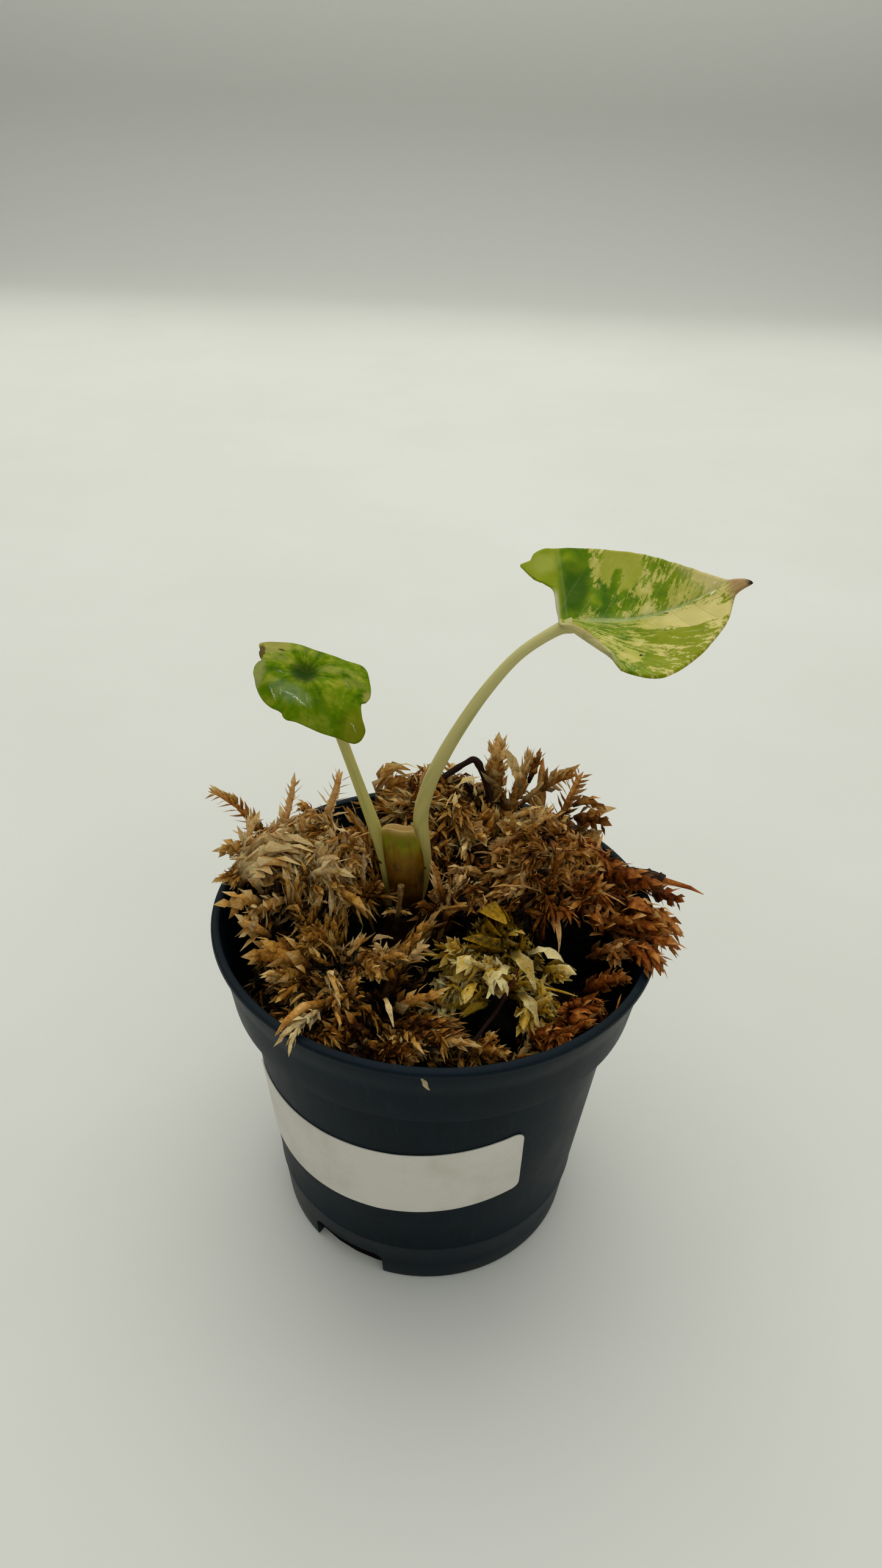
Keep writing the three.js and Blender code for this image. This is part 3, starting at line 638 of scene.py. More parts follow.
# %% Where each blade lies
class Blade:
    def __init__(self, at, azimuth, rise, roll, centre, outline):
        a, e, t = (math.radians(x) for x in (azimuth, rise, roll))
        self.at = Vector(at)
        self.along = Vector((math.cos(a) * math.cos(e), math.sin(a) * math.cos(e), math.sin(e)))
        level = Vector((-math.sin(a), math.cos(a), 0))
        normal = self.along.cross(level)
        self.across = level * math.cos(t) + normal * math.sin(t)
        self.up = self.along.cross(self.across)
        self.centre = centre
        self.outline = outline

    def point(self, u, v, h):
        return (self.at + self.along * u + self.across * v + self.up * h) * MM


LARGE = Blade([17.9, 5, 106.7], -7.6, 18.5, 22, (2, 3), [
    (23.9, 0.3), (23.5, 1.0), (22.9, 1.6), (21.9, 2.3), (21.0, 2.9), (18.5, 5.1), (16.9, 6.5),
    (15.3, 7.8), (13.3, 9.2), (11.3, 10.4), (9.5, 11.2), (7.8, 11.7), (4, 12.1), (0.5, 11.9),
    (-1.9, 11.9), (-3.2, 12), (-4.2, 11.7), (-5.0, 11.2), (-5.35, 10.6), (-5.6, 10.2),
    (-6.4, 9.9), (-7, 9.6), (-6.7, 9.1), (-6.1, 8.3), (-5.5, 7.7), (-4.8, 7.3), (-4.1, 6.9),
    (-3.5, 6.45), (-3.0, 5.9), (-2.75, 5.0), (-2.65, 3.6), (-2.6, 2.2), (-2.4, 0.6),
    (-2.2, -1.6), (-1.6, -4), (-0.6, -5.7), (0.6, -7.2), (3.9, -9.8), (7, -11.9), (9.2, -13.2),
    (10.9, -13.6), (12.4, -12.9), (13.7, -11.9), (15.2, -10.5), (16.6, -9.2), (17.8, -7.6),
    (19, -6.1), (19.9, -4.5), (20.4, -3.4), (20.8, -2.0), (21.05, -1.1), (21.35, -0.3),
    (21.9, 0.1), (22.7, 0.25)])
SMALL = Blade([-20, 5, 97.4], 170, 12, -16, (-1, 1.5), [
    (7.6, -1.4), (7.3, -0.8), (6.9, -0.3), (6.6, 0.3), (6.9, 0.7), (7.1, 1.5), (6.9, 2.6), (6.3, 3.6),
    (5.6, 4.8), (4.6, 5.9), (3.6, 6.5), (2.6, 6.8), (1.7, 6.9), (0.9, 7.2), (0.4, 7.7),
    (-0.2, 7.9), (-1.4, 7.85), (-2.8, 7.8), (-5.6, 7.6), (-8.5, 7.3), (-9.6, 7.1), (-10.3, 6.8),
    (-10.8, 6.1), (-10.9, 5), (-10.5, 4.3), (-9.9, 3.6), (-9.3, 2.5), (-9.05, 1.7), (-9.15, 1.2),
    (-9.6, 0.7), (-9.75, -0.2), (-9.55, -1.3), (-9.2, -2.2), (-8.2, -4.2), (-7.7, -4.9), (-6.9, -5.4),
    (-5.9, -5.3), (-4.7, -5.0), (-3, -4.8), (-1.3, -4.7), (1.9, -4.85), (3.6, -4.9), (5.3, -4.8),
    (7.1, -4.5), (8.1, -3.9), (8.3, -3.3), (8.0, -2.7), (7.7, -2.1)])


# %% The height of each blade over its flat shape
BLADE_THICKNESS = 0.42
LARGE_LENGTH = 23.9
MIDRIB = (0.25, 0.055, 0.0033)  # the midrib bends gently: v = a + b u + c u u
VEIN_SLANT = 0.56  # how far a side vein runs on towards the tip for each mm out
VEIN_PITCH = 3.1
ROLLED_LOBE = {"from": (-1.6, 0.2), "outwards": (-0.75, -0.66), "radius": 1.3,
               "fades": (4.0, 6.6)}


def large_height(u, v):
    """A sag along the blade, a dish across it, the midrib's groove, swells between the veins, waves."""
    s = u / LARGE_LENGTH
    sag = -3.2 * 4 * s * (1 - s) * (1 if u > 0 else 0.35)
    dish = sag + 0.012 * v * v + 0.1 * math.sqrt(v * v + 0.3)
    off = abs(v - (MIDRIB[0] + MIDRIB[1] * u + MIDRIB[2] * u * u))
    groove = -0.16 * math.exp(-((off / 0.5) ** 2)) * smoothstep(-1, 1, u)
    vein = 0.5 - 0.5 * math.cos(TURN * (u - VEIN_SLANT * off) / VEIN_PITCH)
    swell = 0.15 * vein ** 0.6 * smoothstep(0.6, 3.0, off) * smoothstep(13, 8, off)
    wave = 0.22 * noise.noise(Vector((u * 0.16, v * 0.16, 3.0)))
    return dish + groove + swell * smoothstep(24, 18, u) + wave


def small_height(u, v):
    """The blade falls away all round a funnel over its stalk, with low ribs that fan out, and waves."""
    fall = -(0.045 if v > 0 else 0.022) * v * v - 0.02 * u * u
    funnel = -1.1 * math.exp(-(u * u + v * v) / 5)
    around = math.atan2(v, u)
    out = math.hypot(u, v)
    ribs = 0.09 * math.cos(7 * around + 0.6) * smoothstep(1, 3.5, out)
    wave = 0.3 * noise.noise(Vector((u * 0.28, v * 0.28, 11.0))) * smoothstep(0.5, 3, out)
    return fall + funnel + ribs + wave


def large_point(u, v):
    """The near lobe rolls over past a line, as if round a bar."""
    nu, nv = ROLLED_LOBE["outwards"]
    past = (u - ROLLED_LOBE["from"][0]) * nu + (v - ROLLED_LOBE["from"][1]) * nv
    past *= smoothstep(ROLLED_LOBE["fades"][1], ROLLED_LOBE["fades"][0], u)
    if past <= 0:
        return LARGE.point(u, v, large_height(u, v))
    radius = ROLLED_LOBE["radius"]
    shift = radius * math.sin(past / radius) - past
    u, v = u + nu * shift, v + nv * shift
    return LARGE.point(u, v, large_height(u, v) + radius * (1 - math.cos(past / radius)))


def small_point(u, v):
    return SMALL.point(u, v, small_height(u, v))


# %% Fill a blade with rings of faces
BLADE_SPAN = 40.0  # the square of the UV map is this many millimetres wide


def to_uv(u, v):
    return (u / BLADE_SPAN + 0.5, v / BLADE_SPAN + 0.5)


def make_blade(blade, point, around, rings):
    """The grid is bent round, so that its rows are rings from the centre out to the outline."""
    sheet = new_grid(around, rings)
    flat = []
    for vert in sheet.data.vertices:
        u, v = along_points(blade.outline, (vert.co.x + 0.5) % 1.0, closed=True)
        out = max(vert.co.y + 0.5, 0) ** 0.8  # rings lie a little closer towards the margin
        flat.append((blade.centre[0] + (u - blade.centre[0]) * out,
                     blade.centre[1] + (v - blade.centre[1]) * out))
    for vert, (u, v) in zip(sheet.data.vertices, flat):
        vert.co = point(u, v)
    layer = sheet.data.uv_layers[0].data
    for loop in sheet.data.loops:
        layer[loop.index].uv = to_uv(*flat[loop.vertex_index])
    face_outwards(sheet, weld=True)
    upwards = sum(p.normal.dot(blade.up) * p.area for p in sheet.data.polygons)
    if upwards < 0:
        sheet.data.flip_normals()
    apply_modifier(sheet, "SOLIDIFY", thickness=BLADE_THICKNESS * MM, offset=0.0)
    return sheet


# %% [markdown]
# ## Marbled leaf tissue
# The plant is variegated: some of its cells lost their chlorophyll, and their cream or yellow-green
# daughters lie in streaks along the veins. The recipe works in the blade's own (u, v). It bends the
# coordinates along the side veins, lets noise choose between green and cream there, and shifts the
# choice by soft ovals where the leaf is mostly green, mostly cream, or pale and even. Masks run from
# 0 to 1, and tint lays a colour on where they say.

# %% Recipe steps for leaves
def blade_coordinates(r):
    x, y, _ = r.separate(r.uv())
    u = r.times(r.minus(x, 0.5), BLADE_SPAN)
    v = r.times(r.minus(y, 0.5), BLADE_SPAN)
    return u, v


def oval(r, at, centre, radii, turn=0.0, soft=0.3):
    """1 inside an oval of the blade, given by its centre, its two radii and its turn in degrees."""
    inputs = {"Vector": at, "Location": (*centre, 0), "Rotation": (0, 0, math.radians(turn)),
              "Scale": (*radii, 1)}
    moved = r.node("ShaderNodeMapping", inputs, vector_type="TEXTURE").outputs[0]
    reach = r.node("ShaderNodeVectorMath", {0: moved}, operation="LENGTH").outputs["Value"]
    return r.smooth(reach, 1 + soft, 1 - soft)


def ragged(r, u, v, amount, scale):
    """The blade's coordinates pushed about by noise, so that the edges of patches are torn."""
    du = r.times(r.minus(r.noise(r.combine(u, v), scale, 4, 0.65), 0.5), amount)
    dv = r.times(r.minus(r.noise(r.combine(v, u, 5.0), scale, 4, 0.65), 0.5), amount)
    return r.combine(r.add(u, du), r.add(v, dv))


def blend_patches(r, at, patches):
    """The sum of weighted ovals: each is (weight, centre, radii, turn, softness)."""
    total = 0.0
    for weight, centre, radii, turn, soft in patches:
        total = r.add(total, r.times(oval(r, at, centre, radii, turn, soft), weight))
    return total


# %% The large leaf's finish
# More (+) or less (-) green than the noise alone would give: weight, centre, radii, turn, softness.
GREENER = [
    (0.55, (-3.6, 8.0), (6.0, 9.5), 0, 0.12), (0.30, (4.8, 3.4), (3.2, 2.6), 20, 0.5),
    (-0.10, (8.9, 4.2), (2.2, 3.2), -20, 0.4), (0.34, (11.8, 4.6), (1.0, 1.9), -15, 0.4),
    (0.26, (14.8, 6.2), (1.5, 1.2), 0, 0.5), (0.20, (11.0, 8.7), (3.0, 1.2), -25, 0.5),
    (-0.16, (17.5, 4.0), (4.0, 2.6), -25, 0.5), (0.34, (5.7, 7.2), (0.8, 2.2), -28, 0.25),
    (-0.14, (3.0, 8.6), (0.9, 2.8), -8, 0.5), (0.12, (2.8, 6.2), (2.2, 4.6), -20, 0.5),
]
NEAR_GREENER = [
    (-0.34, (14.8, -1.2), (7.0, 1.7), -8, 0.25), (0.22, (8.5, -2.6), (6.0, 1.1), -10, 0.5),
    (0.16, (12.0, -9.0), (5.5, 4.2), 25, 0.4), (0.14, (15.5, -5.4), (3.6, 1.8), 35, 0.5),
    (-0.16, (8.6, -6.1), (4.5, 1.0), -22, 0.5), (-0.26, (6.9, -8.2), (1.8, 1.4), -30, 0.4),
    (-0.2, (-1.0, -3.4), (2.8, 2.4), 0, 0.4),
]

LARGE_MARKS_AND_HIGHLIGHTS = [  # two painted highlights by the tip, a dash on the midrib and a speck in the near half
    ("f2f0e2", (18.7, 1.9), (0.42, 0.14), 30, 0.5), ("e8e4cc", (19.2, 3.4), (0.25, 0.10), 10, 0.5),
    ("4d4a1c", (12.0, 0.95), (0.42, 0.13), -15, 0.3), ("2d2610", (8.2, -7.7), (0.2, 0.26), 0, 0.3),
]


def large_leaf_tissue():
    r = start_material("leaf_variegated")
    u, v = blade_coordinates(r)
    flat = r.combine(u, v)
    rib = r.add(MIDRIB[0], r.times(u, MIDRIB[1]), r.times(r.times(u, u), MIDRIB[2]))
    side = r.minus(v, rib)
    off = r.math("ABSOLUTE", side)
    far = r.smooth(side, -0.15, 0.15)
    torn = ragged(r, u, v, 2.2, 0.55)

    # far half: streaks lie along the slanting side veins
    lane = r.minus(u, r.times(off, VEIN_SLANT))
    broad = r.smooth(r.noise(r.combine(r.times(lane, 0.5), r.times(off, 0.2)), 1.0, 3), 0.35, 0.65)
    dapple = r.noise(r.combine(r.times(lane, 1.6), r.times(off, 0.6)), 1.0, 6, 0.72, 0.4)
    flecks = r.times(r.minus(r.noise(r.combine(u, v, 9.0), 2.2, 4, 0.7), 0.5), 0.7)
    choice = r.add(0.1, r.times(broad, 0.24), r.times(r.smooth(dapple, 0.36, 0.64), 0.5), flecks)
    choice = r.add(choice, blend_patches(r, torn, GREENER))
    green_far = r.smooth(choice, 0.4, 0.6)

    # near half: streaks fan out from the stalk
    angle = r.math("ARCTAN2", side, r.add(u, 1.5))
    reach = r.math("SQRT", r.add(r.times(u, u), r.times(v, v)))
    broad = r.smooth(r.noise(r.combine(r.times(angle, 7.0), r.times(reach, 0.12)), 1.0, 3), 0.35, 0.65)
    dapple = r.noise(r.combine(r.times(angle, 22.0), r.times(reach, 0.3), 2.0), 1.0, 6, 0.72, 0.3)
    choice = r.add(0.1, r.times(broad, 0.26), r.times(r.smooth(dapple, 0.36, 0.64), 0.5), flecks)
    choice = r.add(choice, blend_patches(r, torn, NEAR_GREENER))
    green_near = r.smooth(choice, 0.4, 0.6)

    near = r.minus(1.0, far)
    green = r.add(r.times(green_far, far), r.times(green_near, near))
    tone = r.noise(r.combine(u, v, 3.0), 0.35, 3)
    deep = r.ramp(tone, [(0.35, "446c00"), (0.5, "668600"), (0.68, "8a9c0c")])
    deep = r.tint(deep, "8e9c10", r.smooth(u, 8.0, 16.0), 0.5)
    pale = r.ramp(tone, [(0.35, "aaac44"), (0.5, "c0ba58"), (0.68, "d8ce80")])
    wedge = r.times(r.smooth(u, 8.0, 13.0), near)
    pale = r.tint(pale, "e6d68a", wedge, 0.7)
    low = r.times(r.smooth(u, 5.0, 11.0), near)
    deep = r.tint(deep, "929600", low, 0.6)
    base = r.mix(green, pale, deep)

    # the even yellow-green patch, with its wedge of green, in the far half
    even = oval(r, torn, (6.8, 9.2), (2.9, 3.9), -22, 0.12)
    even = r.times(even, r.minus(1.0, oval(r, torn, (5.7, 7.0), (0.75, 2.3), -28, 0.2)))
    base = r.tint(base, r.mix(tone, "9ea42c", "b0b044"), even, 0.92)

    # the green shoulder is darkest in its hollow and yellower on the lobe
    hollow = oval(r, flat, (0.2, 5.2), (2.4, 3.6), -10, 0.6)
    shoulder = r.times(oval(r, torn, (-3.6, 8.0), (6.0, 9.5), 0, 0.12), far)
    base = r.tint(base, "2f5600", hollow, shoulder, 0.85)
    lobe = r.times(r.smooth(u, -1.2, -2.6), far)
    base = r.tint(base, "97a31c", lobe, 0.75)
    base = r.tint(base, "bcc25a", oval(r, torn, (-3.6, 9.6), (2.0, 1.5), 20, 0.6), 0.5)
    ray = r.smooth(r.math("ABSOLUTE", r.add(u, 1.2, r.times(v, 0.03))), 0.32, 0.02)
    base = r.tint(base, "a9b869", ray, far, 0.18)

    # veins: a pale green midrib between duller green borders, and fine paler side veins
    comb = r.math("ABSOLUTE", r.minus(r.math("FRACT", r.times(lane, 1 / VEIN_PITCH)), 0.5))
    side_vein = r.times(r.smooth(comb, 0.44, 0.5), r.smooth(off, 11.0, 3.0))
    base = r.tint(base, "b4bd7c", side_vein, r.times(far, 0.14))
    fine = r.smooth(r.noise(r.combine(r.times(angle, 60.0), r.times(reach, 0.1)), 1.0, 2), 0.6, 0.75)
    base = r.tint(base, "d6d394", fine, r.times(near, 0.35))
    started = r.smooth(u, -0.5, 2.5)
    border = r.times(r.smooth(off, 1.5, 0.3), r.times(started, r.smooth(u, 21.0, 8.0)))
    base = r.tint(base, "8fa655", border, 0.3)
    width = r.smooth(u, 24.0, 0.0)
    rib_mask = r.smooth(r.minus(off, r.times(width, 0.28)), 0.24, 0.04)
    base = r.tint(base, "a9b97a", rib_mask, r.times(started, 0.6))

    # margins: pink-brown towards the tip and dark at its end, cream along the far side near it, and
    # pale along the notch by the stalk
    tip = r.smooth(r.add(u, r.times(v, 0.1)), 20.2, 22.0)
    base = r.tint(base, "b08a62", tip, 0.85)
    base = r.tint(base, "2c241c", r.smooth(u, 23.0, 23.8))
    blush = r.times(r.smooth(r.add(u, r.times(v, 0.55)), 17.5, 21.5), far)
    base = r.tint(base, "dccb90", blush, 0.6)
    notch = r.times(r.smooth(u, -1.9, -2.5), r.smooth(v, 6.0, 4.0))
    base = r.tint(base, "c9c6a0", notch, 0.8)

    # the margin that rolls over by the stalk is cream, with a pinkish edge
    nu, nv = ROLLED_LOBE["outwards"]
    past = r.add(r.times(u, nu), r.times(v, nv),
                 -nu * ROLLED_LOBE["from"][0] - nv * ROLLED_LOBE["from"][1])
    rolled = r.times(r.smooth(past, 0.7, 1.7), r.times(r.smooth(u, 6.0, 4.0), near))
    base = r.tint(base, "d2c890", rolled, 0.65)
    base = r.tint(base, "b48f68", rolled, r.smooth(past, 2.6, 3.6))

    # the painted highlights, and the real marks on the midrib and in the near half
    for text, *where in LARGE_MARKS_AND_HIGHLIGHTS:
        base = r.tint(base, text, oval(r, flat, *where))

    cells = r.noise(flat, 5.5, 2)
    relief = r.add(r.times(cells, 0.5), r.times(side_vein, -0.8), r.times(rib_mask, -1.0))
    normal = r.bump(relief, 0.1, 0.5)
    rough = r.add(0.3, r.times(cells, 0.14))
    return r.material(base, rough, normal, Specular_IOR_Level=0.06, Subsurface_Weight=0.08,
                      Subsurface_Scale=0.001)


finish_piece(make_blade(LARGE, large_point, 220, 26), "blade_large", large_leaf_tissue(),
             "leaf_variegated", ["leaf_large"], 180)


# %% The small leaf's finish
SMALL_CREAM = [
    (0.75, (7.4, -3.6), (3.4, 2.3), 0, 0.35), (0.42, (-3.2, -1.9), (1.5, 0.9), 20, 0.5),
    (0.34, (-7.0, -1.2), (1.8, 0.9), 15, 0.5), (0.30, (-6.2, -2.8), (1.2, 0.6), 10, 0.5),
    (0.85, (-9.6, 0.1), (0.8, 1.3), 15, 0.4), (0.3, (4.6, -0.8), (1.8, 0.8), 20, 0.5),
    (0.22, (2.0, -3.9), (3.0, 0.8), 0, 0.5),
]
SMALL_GLINTS = [  # where the wet-looking tissue catches the light
    (0.5, (3.1, 5.0), (0.8, 0.06), 132, 0.7), (0.7, (-0.8, 5.0), (1.1, 0.06), 160, 0.7),
    (0.4, (0.9, 4.4), (0.9, 0.06), 175, 0.7), (0.3, (2.1, 4.5), (0.5, 0.06), 120, 0.7),
    (0.35, (-1.7, 4.3), (0.45, 0.05), 120, 0.7), (0.45, (-9.2, 5.3), (0.5, 0.05), 150, 0.7),
    (0.2, (-6.1, -0.3), (0.6, 0.08), 150, 0.8), (0.15, (3.3, 1.6), (0.7, 0.1), 170, 0.8),
]


def small_leaf_tissue():
    r = start_material("leaf_green")
    u, v = blade_coordinates(r)
    at = r.combine(u, v)
    torn = ragged(r, u, v, 1.4, 0.8)
    angle = r.math("ARCTAN2", v, u)
    reach = r.math("SQRT", r.add(r.times(u, u), r.times(v, v)))
    fan = r.combine(r.times(angle, 3.2), r.times(reach, 0.3))
    streak = r.noise(fan, 1.0, 5, 0.6, 0.3)
    tone = r.add(r.times(streak, 0.6), r.times(r.noise(at, 0.5, 4, 0.6), 0.4))
    base = r.ramp(tone, [(0.38, "3c6000"), (0.5, "688400"), (0.62, "9ca226")])
    base = r.tint(base, "4e6c00", r.smooth(v, 0.0, 6.0), 0.5)

    # the funnel over the stalk is dark, and faint rays run out of it
    funnel = r.times(r.smooth(reach, 3.4, 0.6), r.smooth(streak, 0.3, 0.55))
    base = r.tint(base, "1c3c00", funnel, 0.85)
    base = r.tint(base, "1a3a00", oval(r, torn, (0.3, 0.1), (1.9, 1.8), 0, 0.5), 0.8)
    rays = r.smooth(r.math("ABSOLUTE", r.minus(r.math("FRACT", r.times(angle, 1.1)), 0.5)), 0.1, 0.0)
    base = r.tint(base, "8ba04a", rays, r.smooth(reach, 0.3, 1.2), 0.07)

    # cream patches, olive and brown margins, a brown dash, a painted sheen over the dome, and glints
    light = r.math("ADD", blend_patches(r, torn, SMALL_CREAM), r.times(r.minus(tone, 0.5), 0.6), True)
    base = r.tint(base, "a49c4c", light)
    olive = r.times(r.smooth(u, -6.0, -9.5), r.smooth(v, 1.0, 4.0))
    base = r.tint(base, "71700c", olive, 0.6)
    base = r.tint(base, "a3a060", oval(r, torn, (6.2, 2.6), (0.9, 2.6), 12, 0.4), 0.6)
    base = r.tint(base, "4a3516", oval(r, torn, (7.3, -1.4), (0.5, 1.9), 12, 0.3), 0.85)
    base = r.tint(base, "453a10", oval(r, at, (4.7, -2.9), (0.55, 0.17), -8, 0.4))
    # painted sheen: a pale grey-green haze over the dome where the glints lie
    base = r.tint(base, "9ab084", oval(r, torn, (0.8, 4.2), (2.8, 1.1), 170, 0.6), 0.3)
    glints = blend_patches(r, ragged(r, u, v, 0.9, 2.4), SMALL_GLINTS)
    base = r.tint(base, "f0f4e4", r.math("MINIMUM", glints, 0.85))

    cells = r.noise(at, 4.5, 3)
    ripples = r.noise(r.combine(r.times(u, 0.6), r.times(v, 1.4)), 0.9, 3)
    normal = r.bump(r.add(r.times(cells, 0.25), r.times(ripples, 1.2)), 0.25, 0.6)
    return r.material(base, r.add(0.18, r.times(cells, 0.1)), normal, Specular_IOR_Level=0.02,
                      Subsurface_Weight=0.03, Subsurface_Scale=0.001)


finish_piece(make_blade(SMALL, small_point, 260, 30), "blade_small", small_leaf_tissue(),
             "leaf_green", ["leaf_small"], 180)

# %% [markdown]
# ## Stalks and twigs
# A stalk is a round bar of changing width along a curve. A flat grid is rolled up round the curve, so
# its UV map runs once round the stalk and from its foot to its top, and its ends are closed.

# %% Roll a grid into a tube
def rolled_tube(points, radii, sides, steps, shape=None):
    """shape(around, along) gives a factor on the radius, such as for nodes or flutes."""
    tube = new_grid(sides, steps)
    widths = [(r,) for r in radii]
    for vert in tube.data.vertices:
        around, along = vert.co.x + 0.5, vert.co.y + 0.5
        centre = Vector(along_points(points, along))
        before = Vector(along_points(points, max(along - 0.01, 0)))
        after = Vector(along_points(points, min(along + 0.01, 1)))
        tangent = (after - before).normalized()
        side = tangent.cross(Vector((0.13, 0.21, 0.97))).normalized()
        lift = side.cross(tangent)
        radius = along_points(widths, along)[0]
        if shape:
            radius *= shape(around, along)
        a = TURN * around
        vert.co = (centre + (side * math.cos(a) + lift * math.sin(a)) * radius) * MM
    face_outwards(tube, weld=True, close_ends=True)
    return tube


# %% [markdown]
# ## The leaf stalks
# The stalks are pale grey-green and slightly see-through, with fine streaks along them. They are
# stoutest in the moss, slim under the blade, and flare again where they join it.

# %% The finish of a fleshy stalk
def fleshy_stalk(name, low, high, foot, marks):
    """low, high and foot are colours. marks are dark specks: their place and radii in the UV map."""
    r = start_material(name)
    x, y, _ = r.separate(r.uv())
    streaks = r.noise(r.ring(x, r.times(y, 0.7)), 5.0, 4, 0.6)
    clouds = r.noise(r.ring(x, r.times(y, 5.0)), 1.0, 3)
    base = r.mix(r.smooth(y, 0.1, 0.9), low, high)
    base = r.tint(base, "cccb88", r.smooth(streaks, 0.45, 0.7), 0.45)
    base = r.tint(base, "8f9a52", r.smooth(clouds, 0.5, 0.72), 0.4)
    base = r.tint(base, foot, r.smooth(y, 0.36, 0.08), 0.85)
    specks = r.group(SPECKS, Vector=r.place(), Scale=0.8, Size=0.14, Amount=0.55)
    base = r.tint(base, "5c4a22", specks, 0.5)
    for at, radii in marks:
        base = r.tint(base, "3a2814", oval(r, r.combine(x, y), at, radii))
    normal = r.bump(streaks, 0.05, 0.6)
    return r.material(base, 0.42, normal, Specular_IOR_Level=0.14, Subsurface_Weight=0.2,
                      Subsurface_Scale=0.0015)


STALKS = {
    "large": dict(
        points=[(-3.3, 3.6, 56.6), (-2.5, 4, 60.5), (-2.2, 4.2, 64.3), (-2.5, 4.3, 68),
                (-2.9, 4.6, 72.6), (-2.4, 4.9, 76.5), (-1, 5, 81.2), (1.9, 5, 87.9),
                (5.9, 5, 95.2), (10.3, 5, 101.2), (15.1, 5, 105.1), (17.6, 5, 106.1)],
        radii=[1, 1.15, 1.25, 1.25, 1.2, 1.15, 1.1, 1, 0.9, 0.8, 0.85, 1.15], sides=32, steps=90,
        colours=("beae5c", "ccc684", "6f561e"),
        marks=[((0.70, 0.16), (0.05, 0.010)), ((0.62, 0.185), (0.04, 0.006))]),
    "small": dict(
        points=[(-7.1, 3.8, 56.6), (-7.5, 4.1, 60), (-7.9, 4.2, 62.8), (-8.7, 4.5, 66.4),
                (-10.5, 5, 71.9), (-12.4, 5, 77.9), (-14.9, 5, 85.8), (-17, 5.3, 91.3),
                (-19.8, 5.1, 95.6)],
        radii=[1, 1.15, 1.15, 1.1, 1, 0.85, 0.8, 0.8, 1.1], sides=28, steps=70,
        colours=("baae52", "cac472", "645016"),
        marks=[((0.72, 0.33), (0.10, 0.012)), ((0.80, 0.10), (0.10, 0.02))]),
}


def fluted(around, along):
    """A stalk is faintly three-sided, and dries in fine flutes."""
    return 1 + 0.02 * math.cos(TURN * around * 3) + 0.012 * math.cos(TURN * (around * 9 + along))


for size, s in STALKS.items():
    stalk = rolled_tube(s["points"], s["radii"], s["sides"], s["steps"], fluted)
    skin = fleshy_stalk(f"stalk_{size}_skin", *s["colours"], s["marks"])
    finish_piece(stalk, f"stalk_{size}", skin, "green_stem", [f"petiole_{size}"], 60)


# %% [markdown]
# ## The old leaf base
# Between the two stalks stands the base of an older leaf. It is a fleshy pouch that leans to the
# left as it rises: dark in the moss, amber in the middle with green streaks painted on as a glow of
# light through the tissue, and drying to tan at the top, where it is pinched flat and shut, with a
# low flap behind a groove.

# %% Model the sleeve
SLEEVE = {"x": -4.6, "y": 2.6, "bottom": 56.3, "top": 72.4, "lean": -0.0065, "flat": 0.95}
SLEEVE_PROFILE = [(2.3, 56.3), (2.5, 58.8), (2.8, 62.5), (3.0, 66), (2.95, 68.5), (2.85, 70.5),
                  (2.75, 71.7), (2.3, 72.3), (0.03, 72.4)]  # radius, height
FOLD = {"from": 69.5, "flap": 0.3, "groove": -0.35, "flap_y": 0.35, "groove_y": -0.05, "width": 0.22}


def sleeve_point(around, along):
    radius, z = along_points(SLEEVE_PROFILE, along)
    a = TURN * around
    wrinkle = 0.1 * math.sin(7 * a + 4 * along) * smoothstep(0.4, 0.7, along)
    lump = 0.4 * noise.noise(Vector((1.8 * math.cos(a), 1.8 * math.sin(a), 1.8 * along)))
    radius += (wrinkle + lump) * smoothstep(1.0, 0.85, along)
    x = SLEEVE["x"] + radius * math.cos(a) + SLEEVE["lean"] * (z - SLEEVE["bottom"]) ** 2
    y = SLEEVE["flat"] * radius * math.sin(a) * (1 - 0.8 * smoothstep(64.0, 71.2, z))
    flap = FOLD["flap"] * math.exp(-(((y - FOLD["flap_y"]) / FOLD["width"]) ** 2))
    groove = FOLD["groove"] * math.exp(-(((y - FOLD["groove_y"]) / FOLD["width"]) ** 2))
    ragged_top = 0.6 * noise.noise(Vector((x * 0.45, y * 0.5, 9.0))) - 0.04 * (x - SLEEVE["x"]) - 0.2
    z += (flap + groove + ragged_top) * smoothstep(FOLD["from"], SLEEVE["top"] - 0.8, z)
    return Vector((x, SLEEVE["y"] + y, z)) * MM


def make_sleeve():
    sleeve = new_grid(80, 64)
    for vert in sleeve.data.vertices:
        vert.co = sleeve_point(vert.co.x + 0.5, vert.co.y + 0.5)
    face_outwards(sleeve, weld=True, close_ends=True)
    return sleeve


def sleeve_skin():
    r = start_material("sleeve_skin")
    x, y, _ = r.separate(r.uv())
    streaks = r.noise(r.ring(x, r.times(y, 0.5)), 3.6, 5, 0.62)
    clouds = r.noise(r.place(), 0.33, 4, 0.6)
    base = r.ramp(y, [(0.02, "120903"), (0.16, "341b02"), (0.34, "5c3a02"),
                      (0.50, "7c5a04"), (0.62, "8e7a14"), (0.74, "a48c38"),
                      (0.86, "c8a864")])
    # painted glow: green streaks across the middle, for light that shines through the tissue
    painted_glow = r.times(r.smooth(y, 0.42, 0.56), r.smooth(y, 0.74, 0.6))
    base = r.tint(base, "7e8008", r.smooth(streaks, 0.34, 0.56), r.times(painted_glow, 0.9))
    base = r.tint(base, "a08226", r.smooth(clouds, 0.54, 0.7), 0.2)
    dark = r.times(r.smooth(clouds, 0.54, 0.36), r.smooth(y, 0.75, 0.3))
    base = r.tint(base, "241204", dark, 0.85)
    normal = r.bump(r.add(streaks, r.times(clouds, 0.8)), 0.16, 0.7)
    return r.material(base, 0.3, normal, Specular_IOR_Level=0.15, Subsurface_Weight=0.15,
                      Subsurface_Scale=0.0012)


finish_piece(make_sleeve(), "sleeve", sleeve_skin(), "leaf_sheath", ["sheath"], 70)
